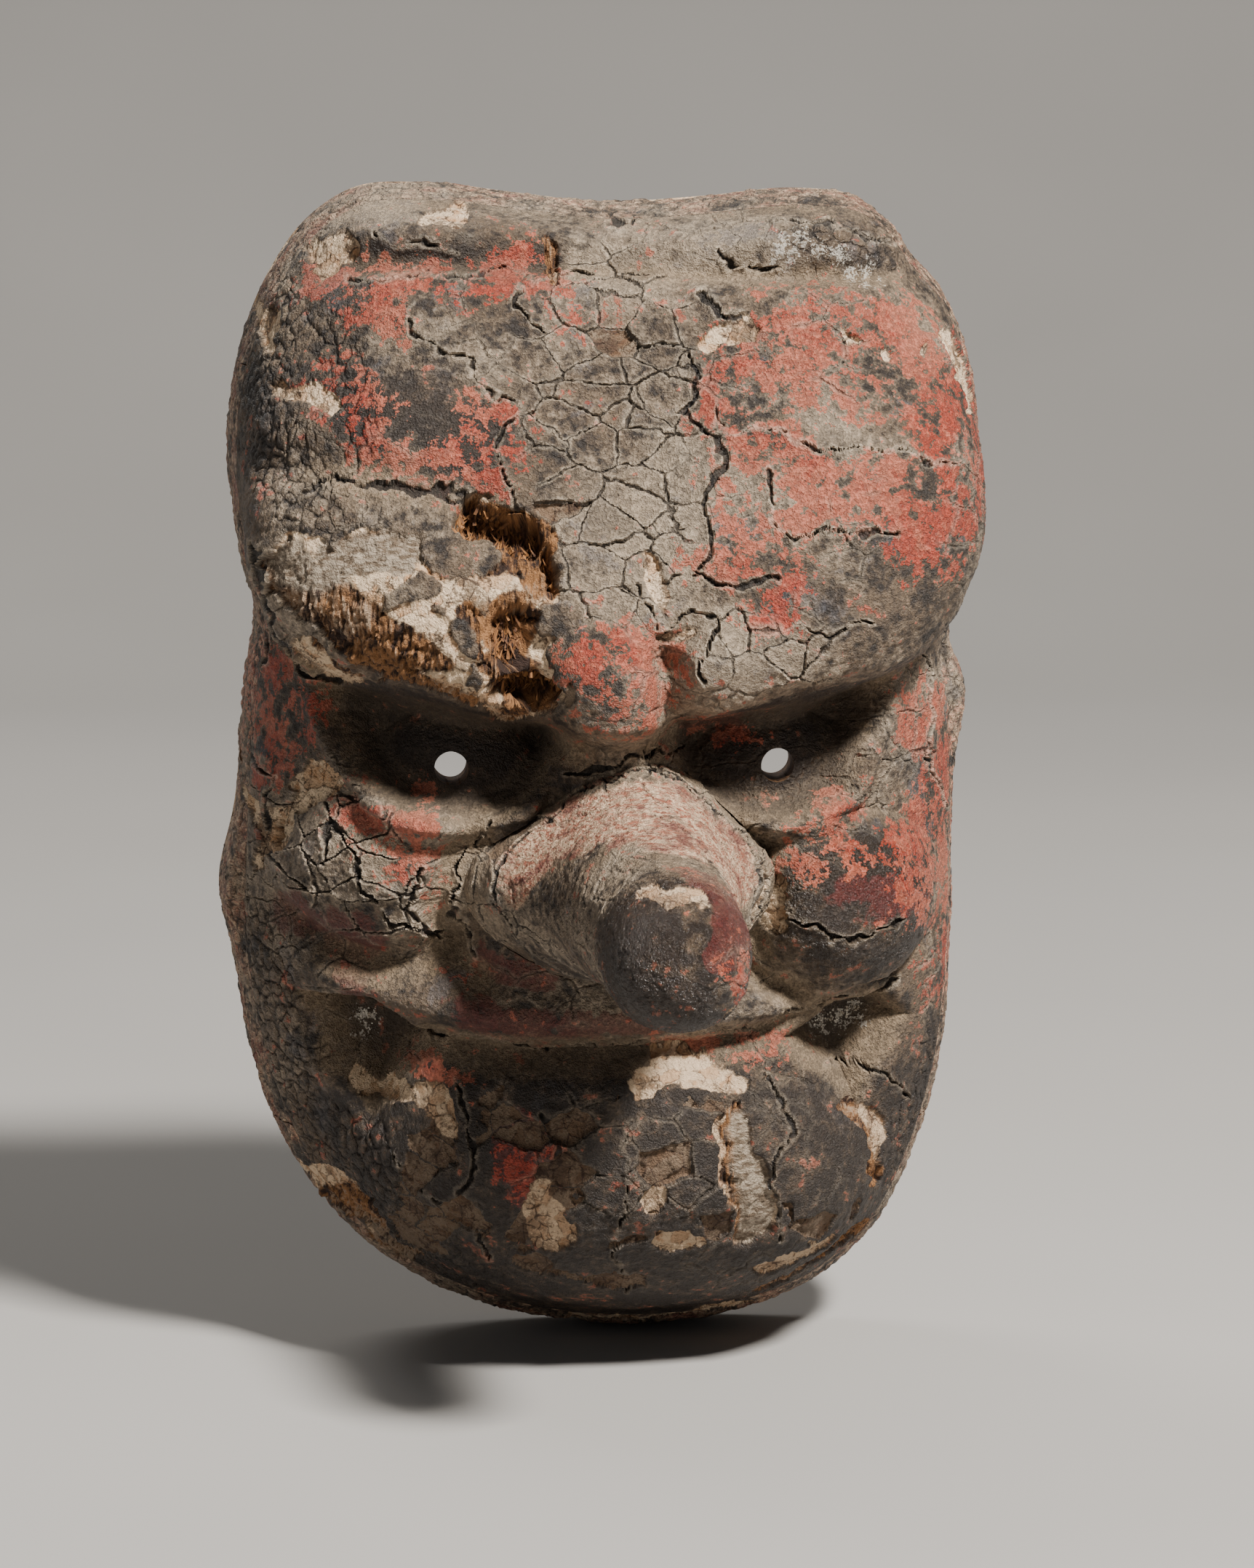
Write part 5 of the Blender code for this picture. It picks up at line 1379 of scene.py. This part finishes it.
nose = weather(fine_nose(), Coat_thickness=0.7)
x, z = NOSE_SECTIONS[0][1] * MM, NOSE_SECTIONS[0][2] * MM
tenon = tenon_box("tenon", 0, NOSE_SEAT_DEPTH + 4 * MM)
wedge_depth = WEDGE_LENGTH + GAP
slope = 0.6 * WEDGE_THICKNESS / WEDGE_LENGTH
wedge_slot = box("wedge_slot", (-0.5, -0.5, -0.5), (0.5, 0.5, 0.5))
for vert in wedge_slot.data.vertices:
    along = 8 * MM if vert.co.y > 0 else -wedge_depth
    thick = WEDGE_THICKNESS + slope * along
    tall = TENON_HEIGHT / 2 - 2 * MM + GAP
    deep = -(FACE_DEPTH - FRONT_WALL + 0.6 * MM) + along
    vert.co = (x + vert.co.x * 2 * (thick / 2 + GAP), deep, z + vert.co.z * 2 * tall)
cut(nose, [tenon], "UNION")
cut(nose, [wedge_slot])
dress(nose)
print("nose:", triangles(nose), "triangles")
drop([hollow, nose_seat, mortise, tenon, wedge_slot] + eye_holes + cord_holes)
drop(list(dowel_holes.values()) + staple_pockets)

# %% [markdown]
# ## Crystals and splinters
#
# Two small things repeat in hundreds: pale crystals of salt in the pits at the corners of
# the mouth, and splinters of wood standing in the rotten brow. A Geometry Nodes tree
# scatters one low-poly shape over the faces that a stored distance picks out, and turns
# and sizes each by a seeded random number.

# %% A tree that scatters a small shape over part of a surface
def scatter_tree(name, shape, field, level, material, density, least_size, most_size, upright):
    tree = bpy.data.node_groups.new(name, "GeometryNodeTree")
    r = Recipe(tree)
    tree.interface.new_socket("Geometry", in_out="INPUT", socket_type="NodeSocketGeometry")
    named = {"Density": density, "Least size": least_size, "Most size": most_size}
    for word, size in named.items():
        socket = tree.interface.new_socket(word, in_out="INPUT", socket_type="NodeSocketFloat")
        socket.default_value = size
    tree.interface.new_socket("Geometry", in_out="OUTPUT", socket_type="NodeSocketGeometry")
    entry = r.node("NodeGroupInput")
    chosen = r.field(field).math("GREATER_THAN", level)
    points = r.node("GeometryNodeDistributePointsOnFaces", {}, {
        "Mesh": entry.out("Geometry"), "Selection": chosen, "Density": entry.out("Density"), "Seed": 7,
    })
    piece = r.node("GeometryNodeObjectInfo", {}, {"Object": shape}, out="Geometry")
    size = r.node("FunctionNodeRandomValue", {"data_type": "FLOAT"},
                  {2: entry.out("Least size"), 3: entry.out("Most size"), "Seed": 3}, out=1)
    tilt = (0.5, 0.9, 0.5) if upright else (3.1, 3.1, 3.1)
    turn = r.node("FunctionNodeRandomValue", {"data_type": "FLOAT_VECTOR"},
                  {0: tuple(-t for t in tilt), 1: tilt, "Seed": 5})
    spread = r.node("GeometryNodeInstanceOnPoints", {},
                    {"Points": points, "Instance": piece, "Rotation": turn, "Scale": size})
    whole = r.node("GeometryNodeRealizeInstances", {}, {"Geometry": spread})
    painted = r.node("GeometryNodeSetMaterial", {}, {"Geometry": whole, "Material": material})
    r.node("NodeGroupOutput", {}, {0: painted})
    return tree


def scattered(name, source, tree):
    """The scattered shapes alone, as one plain mesh."""
    obj = bpy.data.objects.new(name, source.data.copy())
    bpy.context.scene.collection.objects.link(obj)
    obj.modifiers.new("scatter", "NODES").node_group = tree
    settle(obj)
    print(name, len(obj.data.polygons), "faces")
    return obj


# %% One crystal and one splinter, and where they lie
def crystal_shape():
    bm = bmesh.new()
    bmesh.ops.create_icosphere(bm, subdivisions=1, radius=1)
    for vert in bm.verts:
        x, y, z = vert.co
        vert.co = Vector((x * 0.7, y * 0.9, z * 0.6)) * (1 + 0.3 * math.sin(7 * x + 5 * z))
    mesh = bpy.data.meshes.new("crystal")
    bm.to_mesh(mesh)
    bm.free()
    obj = bpy.data.objects.new("crystal", mesh)
    bpy.context.scene.collection.objects.link(obj)
    return obj


def splinter_shape():
    """A bent sliver with three sides, standing along Z."""
    rings = [(0.0, 0.10, 0.0), (0.35, 0.085, 0.02), (0.7, 0.05, 0.07), (1.0, 0.008, 0.16)]
    around = np.arange(3) / 3 * 2 * math.pi
    rows = np.array([
        [(w * math.cos(a) + bend, w * math.sin(a) * 0.6, t - 0.4) for a in around] for t, w, bend in rings
    ])
    return lofted("splinter", rows, rows[0].mean(axis=0), rows[-1].mean(axis=0))


def pale_material():
    material, r = new_recipe("pale crust")
    place = r.place()
    cloud, grit = r.noise(place, 1.4, 3.0), r.noise(place, 0.3, 2.0)
    tone = r.mix((cloud + (grit - 0.5) * 0.6).ramp(0.36, 0.62), srgb(150, 138, 120), srgb(216, 210, 198))
    finish(r, tone, 0.8 + (grit - 0.5) * 0.2, grit, 0.1 * MM)
    return material


crystal, splinter = crystal_shape(), splinter_shape()
SPLINTER_WOOD = wood_material(
    "splinters", srgb(72, 42, 22), srgb(168, 116, 66), srgb(110, 70, 38), (1.0, 1.0, 0.15)
)
salt = scatter_tree(
    "scatter salt", crystal, "crust", 0.6, pale_material(), 1.6e6, 0.16 * MM, 0.42 * MM, False
)
slivers = scatter_tree(
    "scatter splinters", splinter, "rot", 1.2, SPLINTER_WOOD, 1.3e6, 1.6 * MM, 4.6 * MM, True
)
brow_block, chin_block = blocks[1], blocks[3]
crumbs = [scattered("salt_crystals", chin_block, salt), scattered("brow_splinters", brow_block, slivers)]
drop([crystal, splinter])
for piece in crumbs:
    piece.data.shade_flat()

# %% [markdown]
# ## Pegs, wedge and staples
#
# The dowels, the wedge and the staples are already the right shape in the solid part, so
# they are kept as they come and only given their finish.

# %% Finish the small solid pieces
SMALL = ("dowel", "nose_wedge", "staple")
small_pieces = {name: node for name, node in frame["nodes"].items() if name.startswith(SMALL)}
for name, node in small_pieces.items():
    node.data.materials.clear()
    node.data.materials.append(IRON if name.startswith("staple") else PEG_WOOD)
print("finished:", len(small_pieces), "small pieces")

# %% Hang the made pieces on the root, and hide the solids that they replace
for piece in blocks:
    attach(piece, "root")
    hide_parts("face_block")
for name, piece in strips.items():
    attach(piece, "root")
    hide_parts(name)
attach(nose, "root")
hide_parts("nose")
for piece in crumbs:
    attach(piece, "root")
print(len(blocks) + len(strips) + 1 + len(crumbs), "made pieces ride on the root")

# %% [markdown]
# ## The studio
#
# A plain pale floor turns up behind the mask into a backdrop. A small strong light from the
# upper right does most of the work and draws the cracks, a wide weak one from the left opens
# the shadows, and a third, from behind, picks out the crown. Places and sizes are in metres.

# %% Floor, lights and camera
def studio_floor():
    run = [(-6.0, 0.0), (0.9, 0.0)]
    turn = np.linspace(0.1, math.pi / 2, 12)
    run += [(0.9 + 0.9 * math.sin(a), 0.9 - 0.9 * math.cos(a)) for a in turn]
    run += [(1.8, 6.0)]
    points = np.array([(x, y, z + FLOOR) for y, z in run for x in (-7.0, 7.0)])
    i = np.arange(len(run) - 1) * 2
    obj = new_object("studio_floor", points, [np.stack([i, i + 1, i + 3, i + 2], -1)])
    obj.data.shade_smooth()
    material, r = new_recipe("pale paper")
    place = r.node("ShaderNodeTexCoord", out="Object")
    tone = r.mix(r.noise(place, 0.2, 2.0), srgb(160, 157, 153), srgb(170, 167, 163))
    paper = r.node("ShaderNodeBsdfPrincipled", {}, {"Base Color": tone, "Roughness": 0.9})
    r.node("ShaderNodeOutputMaterial", {}, {"Surface": paper})
    obj.data.materials.append(material)
    return obj


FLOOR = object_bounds()[0][2] - 0.2 * MM
floor = studio_floor()
floor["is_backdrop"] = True


def area_light(name, place, aim, size, power, colour):
    data = bpy.data.lights.new(name, "AREA")
    data.shape, data.size, data.size_y = "RECTANGLE", size, size
    data.energy, data.color = power, colour
    lamp = bpy.data.objects.new(name, data)
    lamp.location = place
    lamp.rotation_mode = "QUATERNION"
    lamp.rotation_quaternion = (Vector(aim) - Vector(place)).to_track_quat("-Z", "Y")
    bpy.context.scene.collection.objects.link(lamp)


area_light("key", (0.6, -0.9, 1.2), (0.0, -0.05, 0.0), 0.22, 72.0, (1.0, 0.965, 0.92))
area_light("fill", (-1.3, -1.3, 0.4), (0.0, 0.0, 0.0), 1.4, 2.4, (0.95, 0.97, 1.0))
area_light("rim", (-0.5, 0.7, 0.95), (0.0, 0.0, 0.08), 0.6, 6.0, (1.0, 0.98, 0.95))
world = bpy.data.worlds.new("studio air")
bpy.context.scene.world = world
world.use_nodes = True
air = world.node_tree.nodes["Background"].inputs
air["Color"].default_value, air["Strength"].default_value = (0.5, 0.52, 0.55, 1), 0.13

AZIMUTH, ELEVATION, DISTANCE, PICTURE = math.radians(-4), math.radians(9), 1.1, (1724, 2156)
PER_STEP = 0.1457 * MM  # how much of the mask one step of the picture covers
level = math.cos(ELEVATION)
back = Vector((math.sin(AZIMUTH) * level, -math.cos(AZIMUTH) * level, math.sin(ELEVATION)))
right = Vector((math.cos(AZIMUTH), math.sin(AZIMUTH), 0))
up = back.cross(right)
aim = Vector((0, -30 * MM, 0)) + right * 28 * PER_STEP - up * 26 * PER_STEP
camera_data = bpy.data.cameras.new("camera")
camera_data.sensor_fit, camera_data.sensor_height = "VERTICAL", 36
camera_data.lens = 36 * DISTANCE / (PICTURE[1] * PER_STEP)
camera = bpy.data.objects.new("camera", camera_data)
turn = Matrix((right, up, back)).transposed().to_4x4()
camera.matrix_world = Matrix.Translation(aim + back * DISTANCE) @ turn
bpy.context.scene.collection.objects.link(camera)
bpy.context.scene.camera = camera
print("camera lens", round(camera_data.lens, 1), "mm, floor at", round(FLOOR / MM, 1), "mm")

# %% Measure and finish
visual_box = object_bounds()
for kind, corners in (("solid", solid_box), ("visual", visual_box)):
    print(kind, [[round(v / MM, 1) for v in corner] for corner in corners])
